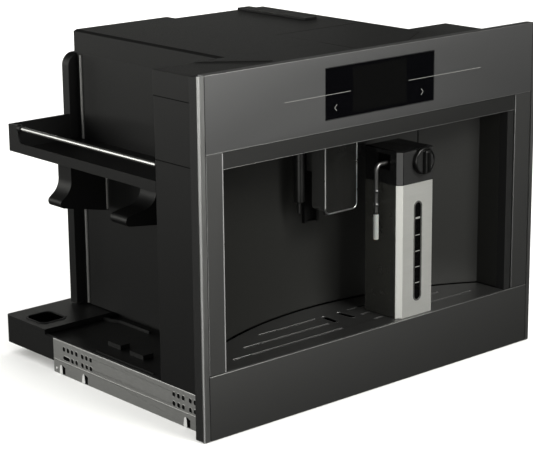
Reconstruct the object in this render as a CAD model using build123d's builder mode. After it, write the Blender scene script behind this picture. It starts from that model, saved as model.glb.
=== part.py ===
from build123d import *
import os

# Built-in coffee machine, millimetres. X runs across the fascia from its middle, Z up from the feet,
# and places along the depth are counted back from the fascia's front face.

# Overall size
WIDTH = 597.0  # fascia
HEIGHT = 455.0
DEPTH = 462.0  # fascia's front face to the back of the base
KNOB_PROUD = 8.0  # the milk carafe's knob stands this far out of the fascia
FRONT = -(DEPTH - KNOB_PROUD) / 2  # Y of the fascia's front face
FOOT_GAP = 1.0  # the fascia ends this far above the feet

# Materials and clearances
SHEET = 1.5  # folded sheet
SHELL = 2.5  # moulded shell
FIT = 0.3  # between bodies that move
SEAM = 1.2  # shut line of a door or lid
JOURNAL_FIT = 0.08  # radial, round a pivot

# Fascia
TRIM_W = 9.8
TRIM_T = 3.0
TRIM_CHAMFER = 2.4
FRAME_BACK = 18.0  # rear face of the frame's rim, which meets the cabinet
RIM_STEP = 0.5  # the housing is seated this far in front of that rim
FRAME_SEAT = FRAME_BACK - RIM_STEP
PANEL_H = 95.2
BAND_H = 21.8  # plain band between the panel and the niche
PANEL_BOTTOM = HEIGHT - PANEL_H
NICHE_TOP = PANEL_BOTTOM - BAND_H
TRAY_TOP = 84.0
LEFT_PILLAR_W = 36.8  # with the trim
RIGHT_PILLAR_W = 41.0
PILLAR_LEFT = LEFT_PILLAR_W - WIDTH / 2  # inner edges of the two pillars
PILLAR_RIGHT = WIDTH / 2 - RIGHT_PILLAR_W
DISPLAY_W = 192.0
DISPLAY_H = 65.0
DISPLAY_LIFT = 14.5  # from the panel's lower edge
DISPLAY_BOTTOM = PANEL_BOTTOM + DISPLAY_LIFT

# Cup niche
LEFT_REVEAL = 0.8  # from a pillar's edge out or in to the niche's wall
RIGHT_REVEAL = 12.0
NICHE_LEFT = PILLAR_LEFT - LEFT_REVEAL
NICHE_RIGHT = PILLAR_RIGHT - RIGHT_REVEAL
NICHE_X = (NICHE_LEFT + NICHE_RIGHT) / 2
NICHE_DEPTH = 127.0
NICHE_R = 480.0  # curved back wall, seen from above
NICHE_Y = NICHE_DEPTH - NICHE_R
TRAY_EDGE_R = NICHE_R - 3.0

# Service door
DOOR_T = 5.0
DOOR_GAP = 2.0  # under the niche's ceiling
DOOR_BOTTOM = TRAY_TOP + 1.0
DOOR_TOP = NICHE_TOP - DOOR_GAP
HINGE_R = 4.5
PIN_R = 2.0
HINGE_X = NICHE_LEFT + 10.0
HINGE_Y = NICHE_Y + (NICHE_R ** 2 - (HINGE_X - NICHE_X) ** 2) ** 0.5 + DOOR_T / 2
FIXED_WALL_W = 80.0  # the right end of the back wall, which stays when the door opens
DOOR_REACH = NICHE_RIGHT - FIXED_WALL_W - HINGE_X

# Housing behind the fascia
HOUSE_MARGIN = 20.0
HOUSE_HALF = WIDTH / 2 - HOUSE_MARGIN
HOUSE_BACK = 112.0
HOUSE_BOTTOM = 48.0
TOP_DROP = 7.5  # the housing's top lies this far under the fascia's
CAP_H = 31.9
HOUSE_TOP = HEIGHT - TOP_DROP
NICHE_SEAM = NICHE_TOP - 2.2
CAP_SEAM = HOUSE_TOP - CAP_H

# Body
BODY_HALF = 164.5
BODY_BOTTOM = 56.0
BODY_BACK = 430.0
FLOOR_T = 3.0
FLOOR_FRONT = 133.0
REAR_LEDGE = 14.5  # the rear cover stands out past the body's sides
REAR_HALF = BODY_HALF + REAR_LEDGE
REAR_BACK = 447.0
REAR_CORNER = 18.0

# Base and rails
RAIL_TOP = 47.2
RAIL_FRONT = 20.0
RAIL_BACK = 347.7
RAIL_FOOT = 22.0
CHANNEL_BOTTOM = 19.0
CHANNEL_TOP = 43.8
CHANNEL_LIP = 10.0
MEMBER_T = 1.2
MEMBER_LIP = 12.5
DECK_TOP = 48.0
DECK_FRONT = 114.0
RAIL_HOLE_R = 2.1
UPPER_HOLES_Z = 37.7
LOWER_HOLES_Z = 25.3

# Milk carafe
CARAFE_LEFT = 40.0
CARAFE_RIGHT = 101.5
CARAFE_FRONT = 5.0
CARAFE_BACK = 69.0
CARAFE_BOTTOM = TRAY_TOP + FIT
LID_CLEAR = 26.0  # from the lid to the niche's ceiling
LID_H = 46.0
LID_TOP = NICHE_TOP - LID_CLEAR
CARAFE_TOP = LID_TOP - LID_H
CARAFE_FACET = 6.6
CARAFE_WALL = 2.0
WINDOW_X = 74.5
WINDOW_W = 14.0
WINDOW_BOTTOM = CARAFE_BOTTOM + 20.4
WINDOW_TOP = CARAFE_TOP - 25.3
KNOB_X = 80.5
KNOB_R = 18.0
KNOB_Z = LID_TOP - 17.0
TUBE_X = 21.5
TUBE_Y = 30.0
TUBE_Z = LID_TOP - 18.0
TUBE_R = 2.5
NOZZLE_X = 49.0
NOZZLE_Z = LID_TOP - 12.0

# Coffee spout
SPOUT_W = 59.0
SPOUT_FRONT = 64.0
SPOUT_BACK = 91.4
SPOUT_H = 105.5
SPOUT_DROP = 70.0  # its travel down
SPOUT_TOP = NICHE_TOP - 3.0
SPOUT_BOTTOM = SPOUT_TOP - SPOUT_H
GUIDE_W = 26.0
GUIDE_H = 130.0
GUIDE_TOP = SPOUT_TOP
GUIDE_BOTTOM = GUIDE_TOP - GUIDE_H

# Bean lid and water tank
BEAN_LEFT = 1.5
BEAN_RIGHT = 151.5
BEAN_FRONT = 45.0
BEAN_AXIS_Y = 198.0
BEAN_AXIS_Z = HOUSE_TOP - 1.9
BEAN_TAIL = 1.5
BEAN_PIN_R = 1.2
TANK_LEFT = BODY_HALF + 4.0
TANK_RIGHT = HOUSE_HALF - 4.0
TANK_FRONT = 150.0
TANK_BACK = 372.0
TANK_TOP = 190.0
TANK_SHELF_TOP = 58.7

# Side shelf
SHELF_LEFT = 1.0 - HOUSE_HALF
SHELF_BOTTOM = 293.8
SHELF_LIP_TOP = 307.6
SHELF_BACK = 435.0
SHELF_END_TOP = 331.0


def block(x, y, z, mode=Mode.ADD):
    """A box between pairs of limits: across, back from the fascia's front face, and up."""
    with Locations(((x[0] + x[1]) / 2, FRONT + (y[0] + y[1]) / 2, (z[0] + z[1]) / 2)):
        Box(x[1] - x[0], y[1] - y[0], z[1] - z[0], mode=mode)


def span(side, near, far):
    """Limits across the machine on one side of its middle: side is -1 for the left."""
    return (min(side * near, side * far), max(side * near, side * far))


def bar(radius, start, end, mode=Mode.ADD):
    """A round bar between two points, each across, back and up."""
    first = Vector(start[0], FRONT + start[1], start[2])
    last = Vector(end[0], FRONT + end[1], end[2])
    with BuildSketch(Plane(origin=first, z_dir=last - first)) as round_end:
        Circle(radius)
    extrude(to_extrude=round_end.sketch, amount=(last - first).length, mode=mode)


def plan(points, z, mode=Mode.ADD):
    """An outline seen from above, between two heights."""
    with BuildSketch(Plane.XY.offset(z[0])) as outline:
        with BuildLine():
            Polyline(*[(x, FRONT + y) for x, y in points], close=True)
        make_face()
    extrude(to_extrude=outline.sketch, amount=z[1] - z[0], mode=mode)


def front_profile(points, y, mode=Mode.ADD):
    """An outline seen from the front, between two depths."""
    with BuildSketch(Plane.XZ.offset(-(FRONT + y[0]))) as outline:
        with BuildLine():
            Polyline(*points, close=True)
        make_face()
    extrude(to_extrude=outline.sketch, amount=-(y[1] - y[0]), mode=mode)


def side_profile(points, x, mode=Mode.ADD):
    """An outline seen from the side, between two places across."""
    with BuildSketch(Plane.YZ.offset(x[0])) as outline:
        with BuildLine():
            Polyline(*[(FRONT + y, z) for y, z in points], close=True)
        make_face()
    extrude(to_extrude=outline.sketch, amount=x[1] - x[0], mode=mode)


def curved_wall(x, radii, z, mode=Mode.ADD):
    """A stretch of the niche's curved back wall, between two radii."""
    with BuildSketch(Plane.XY.offset(z[0])) as wall:
        with Locations((NICHE_X, FRONT + NICHE_Y)):
            Circle(radii[1])
            Circle(radii[0], mode=Mode.SUBTRACT)
        with Locations(((x[0] + x[1]) / 2, FRONT + NICHE_DEPTH)):
            Rectangle(x[1] - x[0], 2 * NICHE_DEPTH, mode=Mode.INTERSECT)
    extrude(to_extrude=wall.sketch, amount=z[1] - z[0], mode=mode)


def niche_plate(x, front, radius, z, mode=Mode.ADD):
    """A level plate whose back edge follows the curved wall."""
    with BuildSketch(Plane.XY.offset(z[0])) as plate:
        with Locations(((x[0] + x[1]) / 2, FRONT + front + NICHE_DEPTH)):
            Rectangle(x[1] - x[0], 2 * NICHE_DEPTH)
        with Locations((NICHE_X, FRONT + NICHE_Y)):
            Circle(radius, mode=Mode.INTERSECT)
    extrude(to_extrude=plate.sketch, amount=z[1] - z[0], mode=mode)


def bean_lid_plan(grow, z, mode=Mode.ADD):
    """The bean lid's outline with its cut corner, grown by a gap for the opening round it."""
    back = BEAN_AXIS_Y + BEAN_TAIL + (grow > 0) * SEAM
    cut_x = BEAN_RIGHT - 60.0
    cut_y = BEAN_FRONT + 38.0
    corners = [
        (BEAN_LEFT - grow, BEAN_FRONT - grow),
        (cut_x, BEAN_FRONT - grow),
        (BEAN_RIGHT + grow, cut_y - grow),
        (BEAN_RIGHT + grow, back),
        (BEAN_LEFT - grow, back),
    ]
    plan(corners, z, mode)


def save(piece, name):
    """Label a finished piece and write it under its own name."""
    piece.part.label = name
    export_step(piece.part, "parts/" + name + ".step")


os.makedirs("parts", exist_ok=True)

# ---------------------------------------------------------------- base in the cabinet

DECK_T = 2.5
BLOCK_FRONT = 367.0
BLOCK_TOP = 55.0
BLOCK_BOTTOM = 15.7
BLOCK_WALL = 3.0
RIDGE_X = -171.5
RIDGE_FRONT = 273.0
RIDGE_BEND = 335.0
RIDGE_TURN = 9.0
WEB = HOUSE_HALF - SHEET  # inner face of the cabinet rails
HOLE_W = 44.0  # cable hole in each rear corner
HOLE_D = 45.0
HOLE_R = 9.0
HOLE_X = HOUSE_HALF - 33.0
HOLE_Y = 411.5
SPACERS = (((36.0, 51.0), (243.0, 271.0)), ((33.0, 50.0), (190.0, 219.0)))
THIN_RIB = ((8.0, 10.0), (136.0, 261.0))
SPACER_H = 6.0
UNDER_RIB_PITCH = 120.0

with BuildPart() as base_tray:
    block((-WEB, WEB), (DECK_FRONT, RAIL_BACK), (DECK_TOP - DECK_T, DECK_TOP))
    block((-HOUSE_HALF, HOUSE_HALF), (RAIL_BACK, DEPTH), (BLOCK_BOTTOM, DECK_TOP))
    block((-HOUSE_HALF, HOUSE_HALF), (BLOCK_FRONT, DEPTH), (DECK_TOP, BLOCK_TOP))
    fillet(base_tray.edges().filter_by(Axis.Z).group_by(Axis.Y)[-1], 6)
    hollow = HOUSE_HALF - BLOCK_WALL
    under_deck = (BLOCK_BOTTOM, DECK_TOP - DECK_T)
    under_step = (DECK_TOP - DECK_T, BLOCK_TOP - DECK_T)
    block((-hollow, hollow), (RAIL_BACK + BLOCK_WALL, DEPTH - BLOCK_WALL), under_deck, Mode.SUBTRACT)
    block((-hollow, hollow), (BLOCK_FRONT + BLOCK_WALL, DEPTH - BLOCK_WALL), under_step, Mode.SUBTRACT)
    with BuildSketch(Plane.XY.offset(BLOCK_TOP)):
        with Locations((-HOLE_X, FRONT + HOLE_Y), (HOLE_X, FRONT + HOLE_Y)):
            RectangleRounded(HOLE_W, HOLE_D, HOLE_R)
    extrude(amount=-3 * DECK_T, mode=Mode.SUBTRACT)
    # guide ridges, spacer blocks and the thin rib that the photograph shows on the left
    with BuildSketch(Plane.XY.offset(DECK_TOP)):
        with BuildLine():
            bend = (RIDGE_X, FRONT + RIDGE_BEND)
            Line((RIDGE_X, FRONT + RIDGE_FRONT), bend)
            RadiusArc(bend, (RIDGE_X - RIDGE_TURN, FRONT + BLOCK_FRONT - 1), 60)
            offset(amount=1.5)
        make_face()
    extrude(amount=4)
    for across, along in SPACERS:
        spacer = span(-1, HOUSE_HALF - across[0], HOUSE_HALF - across[1])
        block(spacer, along, (DECK_TOP, DECK_TOP + SPACER_H))
    rib_x = span(-1, HOUSE_HALF - THIN_RIB[0][0], HOUSE_HALF - THIN_RIB[0][1])
    block(rib_x, THIN_RIB[1], (DECK_TOP, DECK_TOP + 2))
    for column in (-1, 0, 1):
        rib_x = (column * UNDER_RIB_PITCH - 1.5, column * UNDER_RIB_PITCH + 1.5)
        block(rib_x, (DECK_FRONT, RAIL_BACK), under_deck)
save(base_tray, "base_tray")

UPPER_HOLES = (322.5, 313.0, 303.5, 294.0, 280.5, 271.0, 261.5, 84.5, 75.0, 65.5, 51.5, 42.0)
LOWER_HOLES = UPPER_HOLES[2:]
SLOT_Y = 317.0
SLOT_L = 14.0
BRACKET_W = 20.0  # foot of the bracket that carries the housing

for side, hand in ((-1, "left"), (1, "right")):
    with BuildPart() as cabinet_rail:
        run = (RAIL_FRONT, RAIL_BACK)
        block(span(side, WEB, HOUSE_HALF), run, (0, RAIL_TOP))
        block(span(side, WEB - RAIL_FOOT, WEB), run, (0, SHEET))
        block(span(side, WEB - CHANNEL_LIP, WEB), run, (CHANNEL_BOTTOM, CHANNEL_BOTTOM + SHEET))
        block(span(side, WEB - CHANNEL_LIP, WEB), run, (CHANNEL_TOP - SHEET, CHANNEL_TOP))
        for hole_y in UPPER_HOLES:
            hole = ((side * WEB, hole_y, UPPER_HOLES_Z), (side * HOUSE_HALF, hole_y, UPPER_HOLES_Z))
            bar(RAIL_HOLE_R, *hole, Mode.SUBTRACT)
        for hole_y in LOWER_HOLES:
            hole = ((side * WEB, hole_y, LOWER_HOLES_Z), (side * HOUSE_HALF, hole_y, LOWER_HOLES_Z))
            bar(RAIL_HOLE_R, *hole, Mode.SUBTRACT)
        with BuildSketch(Plane.YZ.offset(side * HOUSE_HALF)):
            with Locations((FRONT + SLOT_Y, LOWER_HOLES_Z)):
                SlotOverall(SLOT_L, 2 * RAIL_HOLE_R)
        extrude(amount=-side * SHEET, mode=Mode.SUBTRACT)
    save(cabinet_rail, hand + "_cabinet_rail")

    # The middle member runs in the channel, and the machine's member runs inside it.
    outer = WEB - FIT
    low = CHANNEL_BOTTOM + SHEET + FIT
    high = CHANNEL_TOP - SHEET - FIT
    with BuildPart() as rail_member:
        run = (RAIL_FRONT + 2, RAIL_BACK - 3)
        block(span(side, outer - MEMBER_T, outer), run, (low, high))
        block(span(side, outer - MEMBER_T - MEMBER_LIP, outer), run, (low, low + MEMBER_T))
        block(span(side, outer - MEMBER_T - MEMBER_LIP, outer), run, (high - MEMBER_T, high))
    save(rail_member, hand + "_rail_member")

    inner = outer - MEMBER_T - MEMBER_LIP - FIT
    low = low + MEMBER_T + FIT
    high = high - MEMBER_T - FIT
    with BuildPart() as machine_rail:
        run = (RAIL_FRONT + 4, RAIL_BACK - 7)
        bracket = (RAIL_FRONT + 4, HOUSE_BACK - 4)
        block(span(side, inner - MEMBER_T, inner), run, (low, high))
        block(span(side, inner - MEMBER_T, inner + MEMBER_LIP - 2), run, (low, low + MEMBER_T))
        block(span(side, inner - MEMBER_T, inner + MEMBER_LIP - 2), run, (high - MEMBER_T, high))
        block(span(side, inner - MEMBER_T - SHEET, inner - MEMBER_T), bracket, (low, HOUSE_BOTTOM))
        block(span(side, inner - BRACKET_W, inner - MEMBER_T), bracket, (HOUSE_BOTTOM - SHEET, HOUSE_BOTTOM))
    save(machine_rail, hand + "_machine_rail")

# ---------------------------------------------------------------- fascia

FRAME_HALF = WIDTH / 2 - 0.8
FRAME_TOP = HEIGHT - SHEET
FRAME_SILL = 9.0
LIGHT_MARGIN = 72.5
LIGHT = ((NICHE_LEFT + LIGHT_MARGIN, NICHE_RIGHT - LIGHT_MARGIN), (6.0, 15.0))
LIGHT_T = 7.0
INSIDE_HALF = HOUSE_HALF - 6.0  # space for the electronics

with BuildPart() as front_frame:
    block((-FRAME_HALF, FRAME_HALF), (TRIM_T, FRAME_BACK), (FOOT_GAP, FRAME_TOP))
    block((PILLAR_LEFT - SHEET, NICHE_RIGHT), (TRIM_T, FRAME_BACK), (FRAME_SILL, NICHE_TOP), Mode.SUBTRACT)
    block((-INSIDE_HALF, INSIDE_HALF), (TRIM_T, FRAME_BACK), (PANEL_BOTTOM, HOUSE_TOP - 2), Mode.SUBTRACT)
    block(*LIGHT, (NICHE_TOP, NICHE_TOP + LIGHT_T), Mode.SUBTRACT)
    seat_half = HOUSE_HALF + RIM_STEP
    block((-seat_half, seat_half), (FRAME_SEAT, FRAME_BACK), (FOOT_GAP, FRAME_TOP), Mode.SUBTRACT)
save(front_frame, "front_frame")

with BuildPart() as light_strip:
    block(*LIGHT, (NICHE_TOP + 1, NICHE_TOP + LIGHT_T))
save(light_strip, "light_strip")

for side, hand in ((-1, "left"), (1, "right")):
    with BuildPart() as side_trim:
        block(span(side, WIDTH / 2 - TRIM_W, WIDTH / 2), (0, TRIM_T), (FOOT_GAP, HEIGHT))
        outside = side_trim.edges().filter_by(Axis.Z).group_by(Axis.Y)[0].sort_by(Axis.X)
        chamfer(outside[0 if side < 0 else -1], TRIM_CHAMFER)
    save(side_trim, hand + "_side_trim")

SHEET_HALF = WIDTH / 2 - TRIM_W - 0.2  # the sheets end just inside the trims
BAND_TOP = PANEL_BOTTOM - FIT
FOLD_D = 12.0  # the panel's upper and lower edges are folded back this far

with BuildPart() as niche_surround:
    block((-SHEET_HALF, SHEET_HALF), (SHEET, TRIM_T), (TRAY_TOP + FIT, BAND_TOP))
    block((PILLAR_LEFT, PILLAR_RIGHT), (SHEET, TRIM_T), (TRAY_TOP, NICHE_TOP), Mode.SUBTRACT)
    block((PILLAR_LEFT - SHEET, PILLAR_LEFT), (TRIM_T, FRAME_SEAT), (TRAY_TOP + FIT, NICHE_TOP))
save(niche_surround, "niche_surround")

with BuildPart() as control_panel:
    block((-SHEET_HALF, SHEET_HALF), (0, SHEET), (PANEL_BOTTOM, HEIGHT))
    block((-SHEET_HALF, SHEET_HALF), (SHEET, TRIM_T), (PANEL_BOTTOM, PANEL_BOTTOM + SHEET))
    block((-INSIDE_HALF, INSIDE_HALF), (TRIM_T, FOLD_D), (PANEL_BOTTOM, PANEL_BOTTOM + SHEET))
    block((-SHEET_HALF, SHEET_HALF), (SHEET, FOLD_D), (FRAME_TOP, HEIGHT))
    fillet(control_panel.edges().filter_by(Axis.X).group_by(Axis.Y)[0], 0.8)
    display = ((-DISPLAY_W / 2, DISPLAY_W / 2), (DISPLAY_BOTTOM, DISPLAY_BOTTOM + DISPLAY_H))
    block(display[0], (0, SHEET), display[1], Mode.SUBTRACT)
save(control_panel, "control_panel")

GLASS_FRONT = 0.2
GLASS_T = 1.8
MODULE_BACK = 12.0
MODULE_EDGE = 12.0
BOARD_HALF = 130.0
BOARD_T = 1.6
BOARD_Z = (DISPLAY_BOTTOM - 2.3, DISPLAY_BOTTOM + DISPLAY_H + 0.7)
CHIPS = ((-90.0, 24.0), (-20.0, 34.0), (45.0, 18.0), (92.0, 26.0))
CHIP_H = 24.0
CHIP_T = 6.4

with BuildPart() as display_glass:
    block(display[0], (GLASS_FRONT, GLASS_FRONT + GLASS_T), display[1])
save(display_glass, "display_glass")

with BuildPart() as display_module:
    block((-DISPLAY_W / 2 - MODULE_EDGE, DISPLAY_W / 2 + MODULE_EDGE), (SHEET, MODULE_BACK),
          (DISPLAY_BOTTOM - 6, DISPLAY_BOTTOM + DISPLAY_H + 4))
    block(display[0], (SHEET, GLASS_FRONT + GLASS_T), display[1], Mode.SUBTRACT)
save(display_module, "display_module")

with BuildPart() as control_board:
    board_back = MODULE_BACK + BOARD_T
    chip_z = (BOARD_Z[0] + 16, BOARD_Z[0] + 16 + CHIP_H)
    block((-BOARD_HALF, BOARD_HALF), (MODULE_BACK, board_back), BOARD_Z)
    for chip_x, chip_w in CHIPS:
        block((chip_x - chip_w / 2, chip_x + chip_w / 2), (board_back, board_back + CHIP_T), chip_z)
save(control_board, "control_board")

# ---------------------------------------------------------------- cup niche

CEILING_T = 2.5
CEILING_R = NICHE_R + 7.0
WALL_T = 2.0
LINER_BOTTOM = DOOR_BOTTOM - 0.4
BRACKET_BOTTOM = LINER_BOTTOM - 6.1
BRACKET_Y = (HINGE_Y - 4.0, HINGE_Y + 11.0)
RIGHT_WALL_BACK = 60.0
CEILING = (NICHE_TOP, NICHE_TOP + CEILING_T)

with BuildPart() as niche_liner:
    upright = (LINER_BOTTOM, NICHE_TOP)
    foot = (BRACKET_BOTTOM, LINER_BOTTOM)
    niche_plate((NICHE_LEFT - WALL_T, NICHE_RIGHT + WALL_T), FRAME_SEAT, CEILING_R, CEILING)
    curved_wall((NICHE_RIGHT - 2 * FIXED_WALL_W, NICHE_RIGHT), (NICHE_R, NICHE_R + 4), upright)
    bar(DOOR_REACH + SEAM, (HINGE_X, HINGE_Y, LINER_BOTTOM), (HINGE_X, HINGE_Y, NICHE_TOP), Mode.SUBTRACT)
    block((NICHE_RIGHT, NICHE_RIGHT + WALL_T), (FRAME_SEAT, RIGHT_WALL_BACK), upright)
    block((NICHE_LEFT - WALL_T, NICHE_LEFT), (FRAME_SEAT, BRACKET_Y[1]), (BRACKET_BOTTOM, NICHE_TOP))
    block((NICHE_LEFT, HINGE_X + 3.5), BRACKET_Y, foot)
    niche_plate((NICHE_LEFT, NICHE_RIGHT), FRAME_SEAT, TRAY_EDGE_R + 1, foot, Mode.SUBTRACT)
    for level in (foot, CEILING):
        bar(PIN_R + JOURNAL_FIT, (HINGE_X, HINGE_Y, level[0]), (HINGE_X, HINGE_Y, level[1]), Mode.SUBTRACT)
save(niche_liner, "niche_liner")

# ---------------------------------------------------------------- housing behind the fascia

OPEN_HALF = BODY_HALF - SHELL  # the housing opens into the body between these
BACK = (HOUSE_BACK - SHELL, HOUSE_BACK)
CHEEK = HOUSE_HALF - 3.0
SUMP_LEFT = NICHE_LEFT + 24.0
SUMP_RIGHT = NICHE_RIGHT - 24.0

with BuildPart() as niche_housing:
    for side in (-1, 1):
        block(span(side, CHEEK, HOUSE_HALF), (FRAME_SEAT, HOUSE_BACK), (HOUSE_BOTTOM, NICHE_SEAM))
        block(span(side, OPEN_HALF, CHEEK), BACK, (HOUSE_BOTTOM, NICHE_SEAM))
        floor_in = -SUMP_LEFT if side < 0 else SUMP_RIGHT
        block(span(side, floor_in + 3, CHEEK), (FRAME_SEAT, BACK[0]), (HOUSE_BOTTOM, HOUSE_BOTTOM + 2))
    fillet(niche_housing.edges().filter_by(Axis.Z).group_by(Axis.Y)[-1].group_by(Axis.X)[0], 3)
    fillet(niche_housing.edges().filter_by(Axis.Z).group_by(Axis.Y)[-1].group_by(Axis.X)[-1], 3)
save(niche_housing, "niche_housing")

FLOOR_OF_PANEL = NICHE_TOP + CEILING_T

with BuildPart() as panel_housing:
    for side in (-1, 1):
        block(span(side, CHEEK, HOUSE_HALF), (FRAME_SEAT, HOUSE_BACK), (NICHE_SEAM, CAP_SEAM))
        block(span(side, OPEN_HALF, CHEEK), BACK, (NICHE_SEAM, CAP_SEAM))
    block((-CHEEK, CHEEK), (FRAME_SEAT, BACK[0]), (FLOOR_OF_PANEL, FLOOR_OF_PANEL + 2))
    fillet(panel_housing.edges().filter_by(Axis.Z).group_by(Axis.Y)[-1].group_by(Axis.X)[0], 3)
    fillet(panel_housing.edges().filter_by(Axis.Z).group_by(Axis.Y)[-1].group_by(Axis.X)[-1], 3)
save(panel_housing, "panel_housing")

WING_X = HOUSE_HALF - 44.0  # the right end of the cap slopes down from here
WING_TOP = HOUSE_TOP - 17.5

with BuildPart() as housing_cap:
    roof = [(-HOUSE_HALF, HOUSE_TOP), (WING_X, HOUSE_TOP), (HOUSE_HALF, WING_TOP)]
    front_profile([(-HOUSE_HALF, CAP_SEAM), *roof, (HOUSE_HALF, CAP_SEAM)], (FRAME_SEAT, HOUSE_BACK))
    lining = [(-CHEEK, HOUSE_TOP - SHELL), (WING_X - 1, HOUSE_TOP - SHELL), (CHEEK, WING_TOP - 2)]
    front_profile([(-CHEEK, CAP_SEAM), *lining, (CHEEK, CAP_SEAM)], (FRAME_SEAT, BACK[0]), Mode.SUBTRACT)
    block((-OPEN_HALF, OPEN_HALF), BACK, (CAP_SEAM, HOUSE_TOP - SHELL), Mode.SUBTRACT)
    bean_lid_plan(0.4, (HOUSE_TOP - SHELL, HOUSE_TOP), Mode.SUBTRACT)
save(housing_cap, "housing_cap")

# ---------------------------------------------------------------- body

RUNNER_X = BODY_HALF - 14.5
RUNNER_W = 10.0

with BuildPart() as body_floor:
    block((-OPEN_HALF, OPEN_HALF), (FLOOR_FRONT, BODY_BACK), (BODY_BOTTOM, BODY_BOTTOM + FLOOR_T))
    for side in (-1, 1):
        runner = span(side, RUNNER_X - RUNNER_W / 2, RUNNER_X + RUNNER_W / 2)
        block(runner, (FLOOR_FRONT, BLOCK_FRONT - 1), (DECK_TOP + FIT, BODY_BOTTOM))
save(body_floor, "body_floor")

FLOOR_TOP = BODY_BOTTOM + FLOOR_T
GRINDER_X = 76.5
GRINDER_Y = 176.0
HOPPER_TOP = HOUSE_TOP - 6.0
HOPPER_H = 76.5
HOPPER_BOTTOM = HOPPER_TOP - HOPPER_H
HOPPER_X = (BEAN_LEFT + 10.0, BEAN_RIGHT - 10.0)
HOPPER_Y = (60.0, 192.0)
GRINDER_TOP = HOPPER_BOTTOM - 13.0
GRINDER_H = 113.0
GRINDER_BOTTOM = GRINDER_TOP - GRINDER_H
GRINDER_R = 36.0
CHUTE_Y = GRINDER_Y - 12.0
CHUTE_R = 12.0
CHUTE_WALL = 8.0
LEDGE_T = 3.0

for side, hand in ((-1, "left"), (1, "right")):
    with BuildPart() as body_wall:
        block(span(side, OPEN_HALF, BODY_HALF), (HOUSE_BACK, BODY_BACK), (BODY_BOTTOM, CAP_SEAM))
        if side > 0:
            # ledge that carries the grinder
            ledge = (GRINDER_X - GRINDER_R - 6, OPEN_HALF)
            ledge_z = (GRINDER_BOTTOM - LEDGE_T, GRINDER_BOTTOM)
            block(ledge, (GRINDER_Y - GRINDER_R, GRINDER_Y + GRINDER_R), ledge_z)
    save(body_wall, hand + "_body_wall")

COVER_STEP_Y = 416.0
COVER_STEP_X = -3.5
COVER_CHAMFER = 3.0
BOSS = (BEAN_AXIS_Y - 5, BEAN_AXIS_Y + 5)
BOSS_Z = (BEAN_AXIS_Z - 5, HOUSE_TOP - SHELL)
PIN_REACH = 4.0
COVER_RIM = 0.4  # the bean lid's opening is this much larger all round
RAISED_STRIP = ((115.5, 137.5), (270.0, COVER_STEP_Y), (HOUSE_TOP - SHELL, HOUSE_TOP + 2.5))
BEAN_AXIS = ((BEAN_LEFT, BEAN_AXIS_Y, BEAN_AXIS_Z), (BEAN_RIGHT, BEAN_AXIS_Y, BEAN_AXIS_Z))

with BuildPart() as top_cover:
    corners = [
        (-BODY_HALF, HOUSE_BACK),
        (BODY_HALF, HOUSE_BACK),
        (BODY_HALF, COVER_STEP_Y),
        (COVER_STEP_X, COVER_STEP_Y),
        (COVER_STEP_X, SHELF_BACK),
        (-BODY_HALF, SHELF_BACK),
    ]
    plan(corners, (CAP_SEAM, HOUSE_TOP))
    rear_top = top_cover.edges().filter_by(Axis.X).group_by(Axis.Z)[-1].group_by(Axis.Y)[1:]
    side_top = top_cover.edges().filter_by(Axis.Y).group_by(Axis.Z)[-1]
    outer_edges = side_top.filter_by(lambda edge: abs(edge.center().X) > BODY_HALF - 1)
    chamfer([*[edge for group in rear_top for edge in group], *outer_edges], COVER_CHAMFER)
    inside = (CAP_SEAM, HOUSE_TOP - SHELL)
    block((-OPEN_HALF, OPEN_HALF), (HOUSE_BACK, COVER_STEP_Y - SHELL), inside, Mode.SUBTRACT)
    tail = (COVER_STEP_Y - SHELL, SHELF_BACK - SHELL)
    block((-OPEN_HALF, COVER_STEP_X - SHELL), tail, inside, Mode.SUBTRACT)
    block(*RAISED_STRIP)
    for side, end in ((-1, BEAN_AXIS[0]), (1, BEAN_AXIS[1])):
        boss = sorted((end[0] + side * COVER_RIM, end[0] + side * (PIN_REACH + 3)))
        block(boss, BOSS, BOSS_Z)
    bean_lid_plan(COVER_RIM, (HOUSE_TOP - SHELL, HOUSE_TOP), Mode.SUBTRACT)
    for side, end in ((-1, BEAN_AXIS[0]), (1, BEAN_AXIS[1])):
        bar(BEAN_PIN_R + JOURNAL_FIT, end, (end[0] + side * (PIN_REACH + 1), *end[1:]), Mode.SUBTRACT)
save(top_cover, "top_cover")

with BuildPart() as bean_lid:
    bean_lid_plan(0, (HOUSE_TOP - SHELL, HOUSE_TOP))
    for side, end in ((-1, BEAN_AXIS[0]), (1, BEAN_AXIS[1])):
        bar(BEAN_PIN_R, (end[0] - 2 * side, *end[1:]), (end[0] + side * PIN_REACH, *end[1:]))
save(bean_lid, "bean_lid")

HOPPER_SHOULDER = HOPPER_TOP - 29.5  # straight sides above, sloping floor below
FUNNEL_W = 30.0
FUNNEL_Z = HOPPER_BOTTOM + 3.0

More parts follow.
